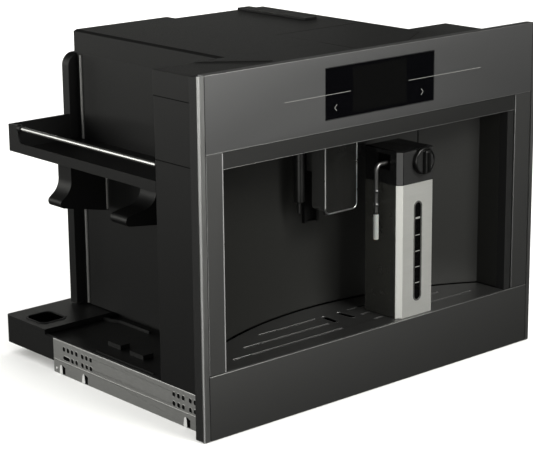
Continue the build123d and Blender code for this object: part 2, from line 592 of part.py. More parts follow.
with BuildPart() as bean_hopper:
    block(HOPPER_X, HOPPER_Y, (HOPPER_BOTTOM, HOPPER_TOP))
    chamfer(bean_hopper.edges().filter_by(Axis.Z), SHELL - 0.5)
    cavity = ((HOPPER_X[0] + SHELL, HOPPER_X[1] - SHELL), (HOPPER_Y[0] + SHELL, HOPPER_Y[1] - SHELL))
    block(*cavity, (HOPPER_SHOULDER, HOPPER_TOP), Mode.SUBTRACT)
    with BuildSketch(Plane.XY.offset(HOPPER_SHOULDER)):
        with Locations((sum(cavity[0]) / 2, FRONT + sum(cavity[1]) / 2)):
            Rectangle(cavity[0][1] - cavity[0][0], cavity[1][1] - cavity[1][0])
    with BuildSketch(Plane.XY.offset(FUNNEL_Z)):
        with Locations((GRINDER_X, FRONT + CHUTE_Y)):
            Rectangle(FUNNEL_W, FUNNEL_W)
    loft(mode=Mode.SUBTRACT)
    bar(CHUTE_R, (GRINDER_X, CHUTE_Y, HOPPER_BOTTOM), (GRINDER_X, CHUTE_Y, FUNNEL_Z), Mode.SUBTRACT)
save(bean_hopper, "bean_hopper")

with BuildPart() as grinder:
    bar(GRINDER_R, (GRINDER_X, GRINDER_Y, GRINDER_BOTTOM), (GRINDER_X, GRINDER_Y, GRINDER_TOP))
    chamfer(grinder.edges().group_by(Axis.Z)[-1], 5)
    chute = ((GRINDER_X, CHUTE_Y, GRINDER_TOP - 4), (GRINDER_X, CHUTE_Y, HOPPER_BOTTOM))
    bar(CHUTE_R + CHUTE_WALL, *chute)
    bar(CHUTE_R, (GRINDER_X, CHUTE_Y, GRINDER_TOP - 30), chute[1], Mode.SUBTRACT)
save(grinder, "grinder")

BREW_X = -48.0
BREW_Y = 215.0
BREW_HALF = 70.0
BREW_FRONT = 150.0
BREW_BACK = 290.0
BREW_TOP = 300.0
BREW_PLATE = 3.0
BREW_SHELF = 96.0
CHAMBER_WALL = 3.7
CHAMBER_FLOOR = 130.0
CHAMBER_TOP = 230.0
PISTON_R = 26.0
PISTON_H = 16.0
PISTON_IN = 4.0  # how far the raised piston stands in its chamber
PISTON_ROD_R = 6.0
ROD_ABOVE = 45.0

with BuildPart() as brew_unit:
    depth = (BREW_FRONT, BREW_BACK)
    across = (BREW_X - BREW_HALF, BREW_X + BREW_HALF)
    block((across[0] - BREW_PLATE, across[0]), depth, (FLOOR_TOP, BREW_TOP))
    block((across[1], across[1] + BREW_PLATE), depth, (FLOOR_TOP, BREW_TOP))
    block(across, depth, (BREW_TOP - BREW_PLATE, BREW_TOP))
    block(across, depth, (BREW_SHELF - BREW_PLATE, BREW_SHELF))
    chamber_r = PISTON_R + FIT + CHAMBER_WALL
    chamber_top = (BREW_X, BREW_Y, CHAMBER_TOP)
    bar(chamber_r, (BREW_X, BREW_Y, BREW_SHELF), chamber_top)
    bar(PISTON_R + FIT, (BREW_X, BREW_Y, CHAMBER_FLOOR), chamber_top, Mode.SUBTRACT)
    rod_hole = ((BREW_X, BREW_Y, BREW_TOP - BREW_PLATE), (BREW_X, BREW_Y, BREW_TOP))
    bar(PISTON_ROD_R + JOURNAL_FIT, *rod_hole, Mode.SUBTRACT)
save(brew_unit, "brew_unit")

with BuildPart() as brew_piston:
    crown = (BREW_X, BREW_Y, CHAMBER_TOP - PISTON_IN + PISTON_H)
    bar(PISTON_R, (BREW_X, BREW_Y, CHAMBER_TOP - PISTON_IN), crown)
    bar(PISTON_ROD_R, crown, (BREW_X, BREW_Y, BREW_TOP + ROD_ABOVE))
save(brew_piston, "brew_piston")

BOILER = (105.0, 290.0)
BOILER_R = 38.0
BOILER_TOP = 200.0
BOILER_PIPE = 16.0

with BuildPart() as boiler:
    bar(BOILER_R, (*BOILER, FLOOR_TOP), (*BOILER, BOILER_TOP))
    chamfer(boiler.edges().group_by(Axis.Z)[-1], 9)
    bar(4, (*BOILER, BOILER_TOP), (*BOILER, BOILER_TOP + BOILER_PIPE))
save(boiler, "boiler")

PUMP_X = (-140.0, -72.0)
PUMP_Y = 346.0
PUMP_R = 22.0
PUMP_Z = FLOOR_TOP + 27.0
PUMP_NOSE = 22.0

with BuildPart() as pump:
    base = (PUMP_X[0], PUMP_X[1] + PUMP_NOSE / 2)
    block(base, (PUMP_Y - PUMP_R - 4, PUMP_Y + PUMP_R + 4), (FLOOR_TOP, FLOOR_TOP + 6))
    bar(PUMP_R, (PUMP_X[0], PUMP_Y, PUMP_Z), (PUMP_X[1], PUMP_Y, PUMP_Z))
    bar(9, (PUMP_X[1], PUMP_Y, PUMP_Z), (PUMP_X[1] + PUMP_NOSE, PUMP_Y, PUMP_Z))
save(pump, "pump")

POWER_Y = (200.0, 380.0)
POWER_Z = (150.0, 350.0)
POWER_PARTS = ((25.0, 40.0), (100.0, 50.0), (150.0, 90.0), (40.0, 150.0), (120.0, 170.0))
POWER_PART = (28.0, 24.0)

with BuildPart() as power_board:
    face = BOARD_T - OPEN_HALF
    block((-OPEN_HALF, face), POWER_Y, POWER_Z)
    for along, above in POWER_PARTS:
        part_y = (POWER_Y[0] + along - POWER_PART[0] / 2, POWER_Y[0] + along + POWER_PART[0] / 2)
        part_z = (POWER_Z[0] + above - POWER_PART[1] / 2, POWER_Z[0] + above + POWER_PART[1] / 2)
        block((face, face + 2.6 * CHIP_T), part_y, part_z)
save(power_board, "power_board")

# ---------------------------------------------------------------- rear cover, inlet and switch

REAR_WALL = 3.0
ROCKER_Y = REAR_BACK - 3.0
ROCKER_Z = 92.0
ROCKER_X = (-112.0, -100.0)
ROCKER_HALF = 10.0
ROCKER_PIN_R = 1.5
SOCKET_X = (-147.0, -118.0)
SOCKET_HALF = 10.0
INLET_X = (SOCKET_X[0] - 3.0, ROCKER_X[1] + 4.0)
INLET_Z = (ROCKER_Z - 14.0, ROCKER_Z + 14.0)
INLET_RIM = 3.0
INLET_FACE = REAR_BACK + 1.5
INLET_D = 22.0
SOCKET_D = 16.0
CONTACTS = (-141.0, -132.5, -124.0)
VENT_X = 70.0
VENT_Z = 330.0
VENT_PITCH = 12.0
VENT_L = 90.0
VENT_W = 5.0

with BuildPart() as rear_cover:
    block((-REAR_HALF, REAR_HALF), (BODY_BACK, REAR_BACK), (BODY_BOTTOM, CAP_SEAM - 0.4))
    fillet(rear_cover.edges().filter_by(Axis.Y).group_by(Axis.Z)[-1], REAR_CORNER)
    fillet(rear_cover.edges().group_by(Axis.Y)[-1], 2.5)
    hollow = (BODY_BACK, REAR_BACK - REAR_WALL)
    block((-OPEN_HALF, OPEN_HALF), hollow, (BODY_BOTTOM + REAR_WALL, CAP_SEAM - 4), Mode.SUBTRACT)
    with BuildSketch(Plane.XZ.offset(-(FRONT + REAR_BACK))):
        for column in (-VENT_X, VENT_X):
            with Locations((column, VENT_Z)):
                with GridLocations(1, VENT_PITCH, 1, 8):
                    SlotOverall(VENT_L, VENT_W)
    extrude(amount=REAR_WALL + 0.5, mode=Mode.SUBTRACT)
    block(INLET_X, (REAR_BACK - REAR_WALL, REAR_BACK), INLET_Z, Mode.SUBTRACT)
save(rear_cover, "rear_cover")

with BuildPart() as mains_inlet:
    block(INLET_X, (REAR_BACK - INLET_D, REAR_BACK), INLET_Z)
    rim_x = (INLET_X[0] - INLET_RIM, INLET_X[1] + INLET_RIM)
    block(rim_x, (REAR_BACK, INLET_FACE), (INLET_Z[0] - INLET_RIM, INLET_Z[1] + INLET_RIM))
    socket_z = (ROCKER_Z - SOCKET_HALF, ROCKER_Z + SOCKET_HALF)
    block(SOCKET_X, (REAR_BACK - SOCKET_D, INLET_FACE), socket_z, Mode.SUBTRACT)
    well_z = (ROCKER_Z - ROCKER_HALF - 1.5, ROCKER_Z + ROCKER_HALF + 1.5)
    block((ROCKER_X[0] - 0.4, ROCKER_X[1] + 0.4), (ROCKER_Y - 8, INLET_FACE), well_z, Mode.SUBTRACT)
    pin = ((ROCKER_X[0] - 2.5, ROCKER_Y, ROCKER_Z), (ROCKER_X[1] + 2.5, ROCKER_Y, ROCKER_Z))
    bar(ROCKER_PIN_R + JOURNAL_FIT, *pin, Mode.SUBTRACT)
    for pin_x in CONTACTS:
        block((pin_x - 1, pin_x + 1), (REAR_BACK - SOCKET_D, REAR_BACK - 3), (ROCKER_Z - 3, ROCKER_Z + 3))
save(mains_inlet, "mains_inlet")

with BuildPart() as main_switch:
    rocker = [
        (ROCKER_Y - 2, ROCKER_Z - ROCKER_HALF + 1),
        (ROCKER_Y + 3.6, ROCKER_Z - ROCKER_HALF),
        (ROCKER_Y + 5, ROCKER_Z),
        (ROCKER_Y + 7.2, ROCKER_Z + ROCKER_HALF),
        (ROCKER_Y - 2, ROCKER_Z + ROCKER_HALF - 1),
    ]
    side_profile(rocker, ROCKER_X)
    bar(ROCKER_PIN_R, (ROCKER_X[0] - 2, ROCKER_Y, ROCKER_Z), (ROCKER_X[1] + 2, ROCKER_Y, ROCKER_Z))
save(main_switch, "main_switch")

# ---------------------------------------------------------------- side shelf, bar and hooks

SHELF_OUT = (SHELF_LEFT, SHELF_LEFT + SHELL)
SHELF_RISE_Y = 412.0
ROD_X = SHELF_LEFT + 2.0
ROD_R = 3.0
ROD_Z = SHELF_END_TOP - ROD_R
HOOK_WALL = 3.0

with BuildPart() as side_shelf:
    shelf_z = (SHELF_BOTTOM, SHELF_BOTTOM + SHELL)
    block((SHELF_LEFT, -BODY_HALF), (HOUSE_BACK, SHELF_BACK), shelf_z)
    lip = [
        (HOUSE_BACK, SHELF_BOTTOM),
        (SHELF_BACK, SHELF_BOTTOM),
        (SHELF_BACK, SHELF_END_TOP),
        (SHELF_RISE_Y, SHELF_END_TOP),
        (SHELF_RISE_Y, SHELF_LIP_TOP),
        (HOUSE_BACK, SHELF_LIP_TOP),
    ]
    side_profile(lip, SHELF_OUT)
    block((SHELF_LEFT, -REAR_HALF), (SHELF_BACK - 4, SHELF_BACK), (SHELF_BOTTOM, SHELF_END_TOP))
    across = side_shelf.edges().filter_by(Axis.X)
    on_rise = across.filter_by(lambda edge: abs(edge.center().Y - FRONT - SHELF_RISE_Y) < 0.1)
    fillet(on_rise.filter_by(lambda edge: abs(edge.center().Z - SHELF_LIP_TOP) < 0.1), 9)
    block((ROD_X - 2, ROD_X + 4), (SHELF_RISE_Y, SHELF_BACK), (ROD_Z - 5, SHELF_END_TOP))
    block((-REAR_HALF - 0.2, -BODY_HALF), (BODY_BACK - FIT, SHELF_BACK), shelf_z, Mode.SUBTRACT)
save(side_shelf, "side_shelf")

with BuildPart() as shelf_rod:
    bar(ROD_R, (ROD_X, HOUSE_BACK, ROD_Z), (ROD_X, SHELF_RISE_Y, ROD_Z))
save(shelf_rod, "shelf_rod")

# Each hook: front and back, then its outline seen from the front, as places across and drops below
# the shelf: where the neck starts, the neck's middle and end, the toe's start, tip and heel, the inner end.
HOOKS = (
    ((348.0, 378.0), ((-238.5, 31.8), (-243.0, 48.3), (-251.0, 55.8), (-252.5, 57.3), (-256.6, 63.0),
                      (-251.0, 70.0), (-178.5, 84.8))),
    ((215.0, 249.0), ((-197.5, 31.8), (-204.5, 46.8), (-220.0, 52.8), (-241.0, 56.8), (-247.9, 63.8),
                      (-241.0, 70.8), (-BODY_HALF, 80.8))),
)

with BuildPart() as cable_hooks:
    for reach, outline in HOOKS:
        places = [(x, SHELF_BOTTOM - drop) for x, drop in outline]
        neck, shoulder, waist, instep, toe, heel, inner_end = places
        with BuildSketch(Plane.XZ.offset(-(FRONT + reach[0]))) as hook:
            with BuildLine():
                Line((neck[0], SHELF_BOTTOM), neck)
                ThreePointArc(neck, shoulder, waist)
                Line(waist, instep)
                ThreePointArc(instep, toe, heel)
                Line(heel, inner_end)
                Line(inner_end, (inner_end[0], SHELF_BOTTOM))
                Line((inner_end[0], SHELF_BOTTOM), (neck[0], SHELF_BOTTOM))
            make_face()
        extrude(to_extrude=hook.sketch, amount=-(reach[1] - reach[0]))
        with BuildSketch(Plane.XZ.offset(-(FRONT + reach[0] + HOOK_WALL))) as pocket:
            add(hook.sketch_local)
            offset(amount=-HOOK_WALL, mode=Mode.REPLACE)
        extrude(to_extrude=pocket.sketch, amount=-(reach[1] - reach[0]), mode=Mode.SUBTRACT)
save(cable_hooks, "cable_hooks")

# ---------------------------------------------------------------- water tank

TANK_RIB = 2.5
TANK_WALL = 2.5

with BuildPart() as tank_shelf:
    across = (BODY_HALF, HOUSE_HALF - 1.5)
    block(across, (HOUSE_BACK, TANK_BACK + 10), (TANK_SHELF_TOP - SHELL, TANK_SHELF_TOP))
    front_rib = (TANK_FRONT - FIT - TANK_RIB, TANK_FRONT - FIT)
    rear_rib = (TANK_BACK + FIT, TANK_BACK + FIT + TANK_RIB)
    for rib in (front_rib, rear_rib):
        block(across, rib, (TANK_SHELF_TOP, TANK_SHELF_TOP + 8))
save(tank_shelf, "tank_shelf")

with BuildPart() as water_tank:
    block((TANK_LEFT, TANK_RIGHT), (TANK_FRONT, TANK_BACK), (TANK_SHELF_TOP + FIT, TANK_TOP))
    fillet(water_tank.edges().filter_by(Axis.Z), 10)
    offset(amount=-TANK_WALL, openings=water_tank.faces().sort_by(Axis.Z)[-1])
    middle = (TANK_FRONT + TANK_BACK) / 2
    block((TANK_LEFT + 1, TANK_RIGHT - 1), (middle - 8, middle + 8), (TANK_TOP - 8, TANK_TOP - 4))
save(water_tank, "water_tank")

# ---------------------------------------------------------------- service door

GUIDE_HALF = GUIDE_W / 2
GUIDE_WALL = 2.0
GUIDE_Y = (NICHE_DEPTH - 5.5, NICHE_DEPTH + 7.0)

with BuildPart() as service_door:
    curved_wall((HINGE_X - 5, HINGE_X + DOOR_REACH), (NICHE_R, NICHE_R + DOOR_T), (DOOR_BOTTOM, DOOR_TOP))
    with BuildSketch(Plane.XY.offset(DOOR_BOTTOM)) as swing:
        with Locations((HINGE_X, FRONT + HINGE_Y)):
            Circle(DOOR_REACH)
    extrude(to_extrude=swing.sketch, amount=DOOR_TOP - DOOR_BOTTOM, mode=Mode.INTERSECT)
    bar(HINGE_R, (HINGE_X, HINGE_Y, DOOR_BOTTOM), (HINGE_X, HINGE_Y, DOOR_TOP))
    bar(PIN_R, (HINGE_X, HINGE_Y, BRACKET_BOTTOM + 0.5), (HINGE_X, HINGE_Y, DOOR_BOTTOM))
    bar(PIN_R, (HINGE_X, HINGE_Y, DOOR_TOP), (HINGE_X, HINGE_Y, CEILING[1] - 0.5))
    block((NICHE_X - GUIDE_HALF, NICHE_X + GUIDE_HALF), GUIDE_Y, (GUIDE_BOTTOM, GUIDE_TOP), Mode.SUBTRACT)
save(service_door, "service_door")

MOUTH_HALF = GUIDE_HALF - GUIDE_WALL - 2.5

with BuildPart() as spout_guide:
    upright = (GUIDE_BOTTOM, GUIDE_TOP)
    inner = GUIDE_HALF - GUIDE_WALL
    block((NICHE_X - GUIDE_HALF, NICHE_X + GUIDE_HALF), GUIDE_Y, upright)
    run = (GUIDE_Y[0] + GUIDE_WALL, GUIDE_Y[1] - GUIDE_WALL)
    block((NICHE_X - inner, NICHE_X + inner), run, upright, Mode.SUBTRACT)
    mouth = (GUIDE_Y[0], GUIDE_Y[0] + GUIDE_WALL)
    block((NICHE_X - MOUTH_HALF, NICHE_X + MOUTH_HALF), mouth, upright, Mode.SUBTRACT)
save(spout_guide, "spout_guide")

NOZZLE_TIP = CARAFE_BACK + FIT
NOZZLE_R = 7.0
NOZZLE_TIP_R = 4.0
NOZZLE_TIP_L = 8.0
RING_PITCH = 8.0
RING_W = 3.0
BEHIND_WALL = (NICHE_R, NICHE_R + 30)

with BuildPart() as steam_nozzle:
    shoulder = (NOZZLE_X, NOZZLE_TIP + NOZZLE_TIP_L, NOZZLE_Z)
    bar(NOZZLE_R, shoulder, (NOZZLE_X, NICHE_DEPTH, NOZZLE_Z))
    bar(NOZZLE_TIP_R, (NOZZLE_X, NOZZLE_TIP, NOZZLE_Z), shoulder)
    for ring in range(4):
        ring_y = shoulder[1] + 4.7 + ring * RING_PITCH
        bar(NOZZLE_R + 2, (NOZZLE_X, ring_y, NOZZLE_Z), (NOZZLE_X, ring_y + RING_W, NOZZLE_Z))
    reach = 2 * NOZZLE_R
    beside = (NOZZLE_X - reach, NOZZLE_X + reach)
    curved_wall(beside, BEHIND_WALL, (NOZZLE_Z - reach, NOZZLE_Z + reach), Mode.SUBTRACT)
save(steam_nozzle, "steam_nozzle")

WATER_X = NICHE_X - 42.0
WATER_Y = 100.0
WATER_R = 6.3
WATER_H = 92.0
WATER_TIP_R = 2.5
WATER_TIP_H = 16.0
WATER_ARM = 10.0

with BuildPart() as hot_water_outlet:
    shoulder = (WATER_X, WATER_Y, DOOR_TOP - WATER_H)
    bar(WATER_R, shoulder, (WATER_X, WATER_Y, DOOR_TOP))
    bar(WATER_TIP_R, (WATER_X, WATER_Y, shoulder[2] - WATER_TIP_H), shoulder)
    arm = (WATER_X - WATER_ARM / 2, WATER_X + WATER_ARM / 2)
    block(arm, (WATER_Y, NICHE_DEPTH), (DOOR_TOP - 18, DOOR_TOP - 2))
    beside = (WATER_X - 2 * WATER_R, WATER_X + 2 * WATER_R)
    curved_wall(beside, BEHIND_WALL, (DOOR_TOP - 36, DOOR_TOP), Mode.SUBTRACT)
save(hot_water_outlet, "hot_water_outlet")

# ---------------------------------------------------------------- coffee spout

SPOUT_HALF = SPOUT_W / 2
PLATE_BACK = SPOUT_FRONT + 2.0
NECK_HALF = MOUTH_HALF - FIT
TAIL_HALF = GUIDE_HALF - GUIDE_WALL - FIT

# The tail stays inside its guide when the spout is at its lowest.
TAIL_Z = (GUIDE_BOTTOM + SPOUT_DROP + 2.0, SPOUT_TOP - 3.0)
OUTLET_X = 14.5
OUTLET_Y = 78.0
OUTLET_R = 3.5
OUTLET_BORE = 2.0

with BuildPart() as spout_body:
    shell_z = (SPOUT_BOTTOM + 3, SPOUT_TOP - 3)
    block((NICHE_X - SPOUT_HALF + 2, NICHE_X + SPOUT_HALF - 2), (PLATE_BACK, SPOUT_BACK), shell_z)
    fillet(spout_body.edges().filter_by(Axis.Y).group_by(Axis.Z)[0], 8)
    run = (GUIDE_Y[0] + GUIDE_WALL + FIT, GUIDE_Y[1] - GUIDE_WALL - FIT)
    block((NICHE_X - NECK_HALF, NICHE_X + NECK_HALF), (SPOUT_BACK, run[0]), TAIL_Z)
    block((NICHE_X - TAIL_HALF, NICHE_X + TAIL_HALF), run, TAIL_Z)
    for outlet_x in (NICHE_X - OUTLET_X, NICHE_X + OUTLET_X):
        outlet = ((outlet_x, OUTLET_Y, SPOUT_BOTTOM - 4), (outlet_x, OUTLET_Y, SPOUT_BOTTOM + 6))
        bar(OUTLET_R, *outlet)
        bar(OUTLET_BORE, *outlet, Mode.SUBTRACT)
save(spout_body, "spout_body")

FRAME_W = 2.2
SPOUT_CORNER = 7.0
PLATE_SINK = 0.3

with BuildPart() as spout_frame:
    block((NICHE_X - SPOUT_HALF, NICHE_X + SPOUT_HALF), (SPOUT_FRONT, PLATE_BACK), (SPOUT_BOTTOM, SPOUT_TOP))
    fillet(spout_frame.edges().filter_by(Axis.Y).group_by(Axis.Z)[0], SPOUT_CORNER + FRAME_W)
    with BuildSketch(Plane.XZ.offset(-(FRONT + SPOUT_FRONT))):
        with Locations((NICHE_X, (SPOUT_BOTTOM + SPOUT_TOP) / 2 + FRAME_W)):
            Rectangle(SPOUT_W - 2 * FRAME_W, SPOUT_TOP - SPOUT_BOTTOM)
        fillet(vertices().group_by(Axis.Y)[0], SPOUT_CORNER)
    extrude(amount=-(PLATE_BACK - SPOUT_FRONT), mode=Mode.SUBTRACT)
save(spout_frame, "spout_frame")

with BuildPart() as spout_front_plate:
    with BuildSketch(Plane.XZ.offset(-(FRONT + SPOUT_FRONT + PLATE_SINK))):
        with Locations((NICHE_X, (SPOUT_BOTTOM + SPOUT_TOP + FRAME_W) / 2)):
            Rectangle(SPOUT_W - 2 * FRAME_W, SPOUT_TOP - SPOUT_BOTTOM - FRAME_W)
        fillet(vertices().group_by(Axis.Y)[0], SPOUT_CORNER)
    extrude(amount=-(PLATE_BACK - SPOUT_FRONT - PLATE_SINK))
save(spout_front_plate, "spout_front_plate")

# ---------------------------------------------------------------- milk carafe

STEEL_T = 1.5
FACET_DEPTH = CARAFE_FRONT + CARAFE_FACET
WINDOW_SINK = 0.3


def carafe_plan(inset, z, mode=Mode.ADD):
    """The carafe's outline from above, with its cut front corner, moved in by an inset."""
    turn = inset * 0.414  # keeps the cut corner parallel at 45 degrees
    corners = [
        (CARAFE_LEFT + inset, FACET_DEPTH + turn),
        (CARAFE_LEFT + CARAFE_FACET + turn, CARAFE_FRONT + inset),
        (CARAFE_RIGHT - inset, CARAFE_FRONT + inset),
        (CARAFE_RIGHT - inset, CARAFE_BACK - inset),
        (CARAFE_LEFT + inset, CARAFE_BACK - inset),
    ]
    plan(corners, z, mode)


def window_slot(y, mode):
    """The level window's rounded slot, between two depths."""
    with BuildSketch(Plane.XZ.offset(-(FRONT + y[0]))) as slot:
        with Locations((WINDOW_X, (WINDOW_BOTTOM + WINDOW_TOP) / 2)):
            SlotOverall(WINDOW_TOP - WINDOW_BOTTOM, WINDOW_W, rotation=90)
    extrude(to_extrude=slot.sketch, amount=-(y[1] - y[0]), mode=mode)


STEEL_BACK = CARAFE_FRONT + STEEL_T
BEHIND_STEEL = (FACET_DEPTH + 1.0, CARAFE_BACK)

with BuildPart() as carafe_body:
    carafe_plan(STEEL_T, (CARAFE_BOTTOM, CARAFE_TOP))
    block((CARAFE_LEFT, CARAFE_RIGHT), BEHIND_STEEL, (CARAFE_BOTTOM, CARAFE_TOP))
    carafe_plan(STEEL_T + CARAFE_WALL, (CARAFE_BOTTOM + 3, CARAFE_TOP), Mode.SUBTRACT)
    window_slot((STEEL_BACK, STEEL_BACK + CARAFE_WALL), Mode.SUBTRACT)
save(carafe_body, "carafe_body")

with BuildPart() as carafe_window:
    window_slot((CARAFE_FRONT + WINDOW_SINK, STEEL_BACK + CARAFE_WALL), Mode.ADD)
save(carafe_window, "carafe_window")

with BuildPart() as carafe_steel_front:
    carafe_plan(0, (CARAFE_BOTTOM, CARAFE_TOP))
    carafe_plan(STEEL_T, (CARAFE_BOTTOM, CARAFE_TOP), Mode.SUBTRACT)
    block((CARAFE_LEFT, CARAFE_RIGHT), BEHIND_STEEL, (CARAFE_BOTTOM, CARAFE_TOP), Mode.SUBTRACT)
    window_slot((CARAFE_FRONT, STEEL_BACK), Mode.SUBTRACT)
save(carafe_steel_front, "carafe_steel_front")

LID_BOTTOM = CARAFE_TOP + FIT
LID_RECESS = ((TUBE_Y - 7.5, TUBE_Y + 17.0), (TUBE_Z - 9.4, TUBE_Z + 11.7))
RECESS_D = 3.0
JOURNAL = 6.0  # length of the tube's journal in the lid
RIM_T = 2.0
RIM_H = 7.0
LID_CHAMFER = 1.5
SPINDLE_R = 3.0  # of the knob
SPINDLE_L = 7.0

with BuildPart() as carafe_lid:
    carafe_plan(0, (LID_BOTTOM, LID_TOP))
    chamfer(carafe_lid.edges().group_by(Axis.Z)[-1], LID_CHAMFER)
    rim = (LID_BOTTOM - RIM_H, LID_BOTTOM)
    carafe_plan(STEEL_T + CARAFE_WALL + FIT, rim)
    carafe_plan(STEEL_T + CARAFE_WALL + FIT + RIM_T, rim, Mode.SUBTRACT)
    block((CARAFE_LEFT, CARAFE_LEFT + RECESS_D), *LID_RECESS, Mode.SUBTRACT)
    journal_x = CARAFE_LEFT + RECESS_D
    journal = ((journal_x, TUBE_Y, TUBE_Z), (journal_x + JOURNAL, TUBE_Y, TUBE_Z))
    bar(TUBE_R + JOURNAL_FIT, *journal, Mode.SUBTRACT)
    bore = ((KNOB_X, CARAFE_FRONT, KNOB_Z), (KNOB_X, CARAFE_FRONT + SPINDLE_L + 1, KNOB_Z))
    bar(SPINDLE_R + JOURNAL_FIT, *bore, Mode.SUBTRACT)
save(carafe_lid, "carafe_lid")

PIPE_R = 3.0
PIPE_BORE = 1.8
PIPE_X = CARAFE_LEFT + STEEL_T + CARAFE_WALL + FIT + RIM_T + PIPE_R + 0.2
PIPE_Y = 22.0
PIPE_LIFT = 12.0

with BuildPart() as intake_pipe:
    pipe = ((PIPE_X, PIPE_Y, CARAFE_BOTTOM + PIPE_LIFT), (PIPE_X, PIPE_Y, LID_BOTTOM))
    bar(PIPE_R, *pipe)
    bar(PIPE_BORE, *pipe, Mode.SUBTRACT)
save(intake_pipe, "intake_pipe")

GRIP_BACK = -2.0
GRIP_W = 10.0
KNOB_RIM = 2.5

with BuildPart() as froth_knob:
    seat = (KNOB_X, CARAFE_FRONT - FIT, KNOB_Z)
    bar(KNOB_R, (KNOB_X, GRIP_BACK, KNOB_Z), seat)
    chamfer(froth_knob.edges().group_by(Axis.Y)[0], 1.5)
    grip_z = (KNOB_Z - KNOB_R + KNOB_RIM, KNOB_Z + KNOB_R - KNOB_RIM)
    block((KNOB_X - GRIP_W / 2, KNOB_X + GRIP_W / 2), (-KNOB_PROUD, GRIP_BACK + 1), grip_z)
    lengthwise = froth_knob.edges().filter_by(Axis.Y)
    fillet(lengthwise.filter_by(lambda edge: edge.center().Y < FRONT + GRIP_BACK - 1), 2)
    bar(SPINDLE_R, seat, (KNOB_X, CARAFE_FRONT + SPINDLE_L, KNOB_Z))
save(froth_knob, "froth_knob")

ELBOW_R = 8.0
TUBE_BOTTOM = TUBE_Z - 97.0
COLLARS = (TUBE_Z - 35.0, TUBE_Z - 53.0)
TIP_H = 33.9
TIP_BOTTOM = TUBE_BOTTOM - 3.1
TIP_TOP = TIP_BOTTOM + TIP_H
TIP_R = 3.65

with BuildPart() as milk_tube:
    bar(TUBE_R, (CARAFE_LEFT + RECESS_D + JOURNAL - 1, TUBE_Y, TUBE_Z), (TUBE_X + ELBOW_R, TUBE_Y, TUBE_Z))
    with BuildSketch(Plane(origin=(TUBE_X + ELBOW_R, FRONT + TUBE_Y, TUBE_Z), z_dir=(1, 0, 0))) as bend:
        Circle(TUBE_R)
    elbow_axis = Axis((TUBE_X + ELBOW_R, FRONT + TUBE_Y, TUBE_Z - ELBOW_R), (0, -1, 0))
    revolve(bend.sketch, axis=elbow_axis, revolution_arc=90)
    bar(TUBE_R, (TUBE_X, TUBE_Y, TUBE_Z - ELBOW_R), (TUBE_X, TUBE_Y, TUBE_BOTTOM))
    for collar_z in COLLARS:
        bar(TUBE_R + 0.8, (TUBE_X, TUBE_Y, collar_z - 1), (TUBE_X, TUBE_Y, collar_z + 1))
    bar(1.5, (TUBE_X, TUBE_Y, TUBE_BOTTOM), (TUBE_X, TUBE_Y, TUBE_BOTTOM + 20), Mode.SUBTRACT)
save(milk_tube, "milk_tube")

with BuildPart() as milk_tip:
    bar(TIP_R, (TUBE_X, TUBE_Y, TIP_BOTTOM), (TUBE_X, TUBE_Y, TIP_TOP))
    bar(TUBE_R + FIT, (TUBE_X, TUBE_Y, TIP_BOTTOM), (TUBE_X, TUBE_Y, TIP_TOP), Mode.SUBTRACT)
save(milk_tip, "milk_tip")

# ---------------------------------------------------------------- drip tray

PLATE_T = 2.0
FASCIA_GAP = TRIM_T - FIT
COVER_X = (NICHE_LEFT + 2.0, NICHE_RIGHT - 1.0)
SUMP_BOTTOM = 24.0
BASIN_STEP = HOUSE_BOTTOM + 2 + FIT
BASIN_RIM = TRAY_TOP - PLATE_T
BASIN_R = TRAY_EDGE_R - 12.0  # the basin's back wall clears the base's deck
BASIN_WALL = 2.0
RIM_LIP = 1.8
SUMP_R = BASIN_R - 4.0
TONGUE_TOP = FLOOR_TOP + 2.0
TONGUE_Y = (96.0, 264.0)
GROUNDS_HALF = 64.0
GROUNDS_Y = (134.0, 262.0)
PANEL_GAP = 0.2  # between the drawer's front and the niche above it

with BuildPart() as lower_panel:
    panel_top = TRAY_TOP - PANEL_GAP
    block((-SHEET_HALF, SHEET_HALF), (0, SHEET), (FOOT_GAP, panel_top))
    block((-SHEET_HALF, SHEET_HALF), (SHEET, FASCIA_GAP), (panel_top - SHEET, panel_top))
    block((-SHEET_HALF, SHEET_HALF), (SHEET, FASCIA_GAP), (FOOT_GAP, FOOT_GAP + SHEET))
    fillet(lower_panel.edges().filter_by(Axis.X).group_by(Axis.Y)[0], 0.8)
save(lower_panel, "lower_panel")

with BuildPart() as drip_basin:
    niche_plate(COVER_X, SHEET, BASIN_R, (BASIN_STEP, BASIN_RIM - RIM_LIP))
    niche_plate(COVER_X, FASCIA_GAP, BASIN_R, (BASIN_RIM - RIM_LIP, BASIN_RIM))
    niche_plate((SUMP_LEFT, SUMP_RIGHT), SHEET, SUMP_R, (SUMP_BOTTOM, BASIN_STEP))
    front = SHEET + BASIN_WALL + 1
    inner_x = (COVER_X[0] + BASIN_WALL, COVER_X[1] - BASIN_WALL)
    niche_plate(inner_x, front, BASIN_R - BASIN_WALL, (BASIN_STEP + BASIN_WALL, BASIN_RIM), Mode.SUBTRACT)
    sump_x = (SUMP_LEFT + BASIN_WALL, SUMP_RIGHT - BASIN_WALL)
    sump_z = (SUMP_BOTTOM + BASIN_WALL, BASIN_STEP + BASIN_WALL)
    niche_plate(sump_x, front, SUMP_R - BASIN_WALL, sump_z, Mode.SUBTRACT)
save(drip_basin, "drip_basin")

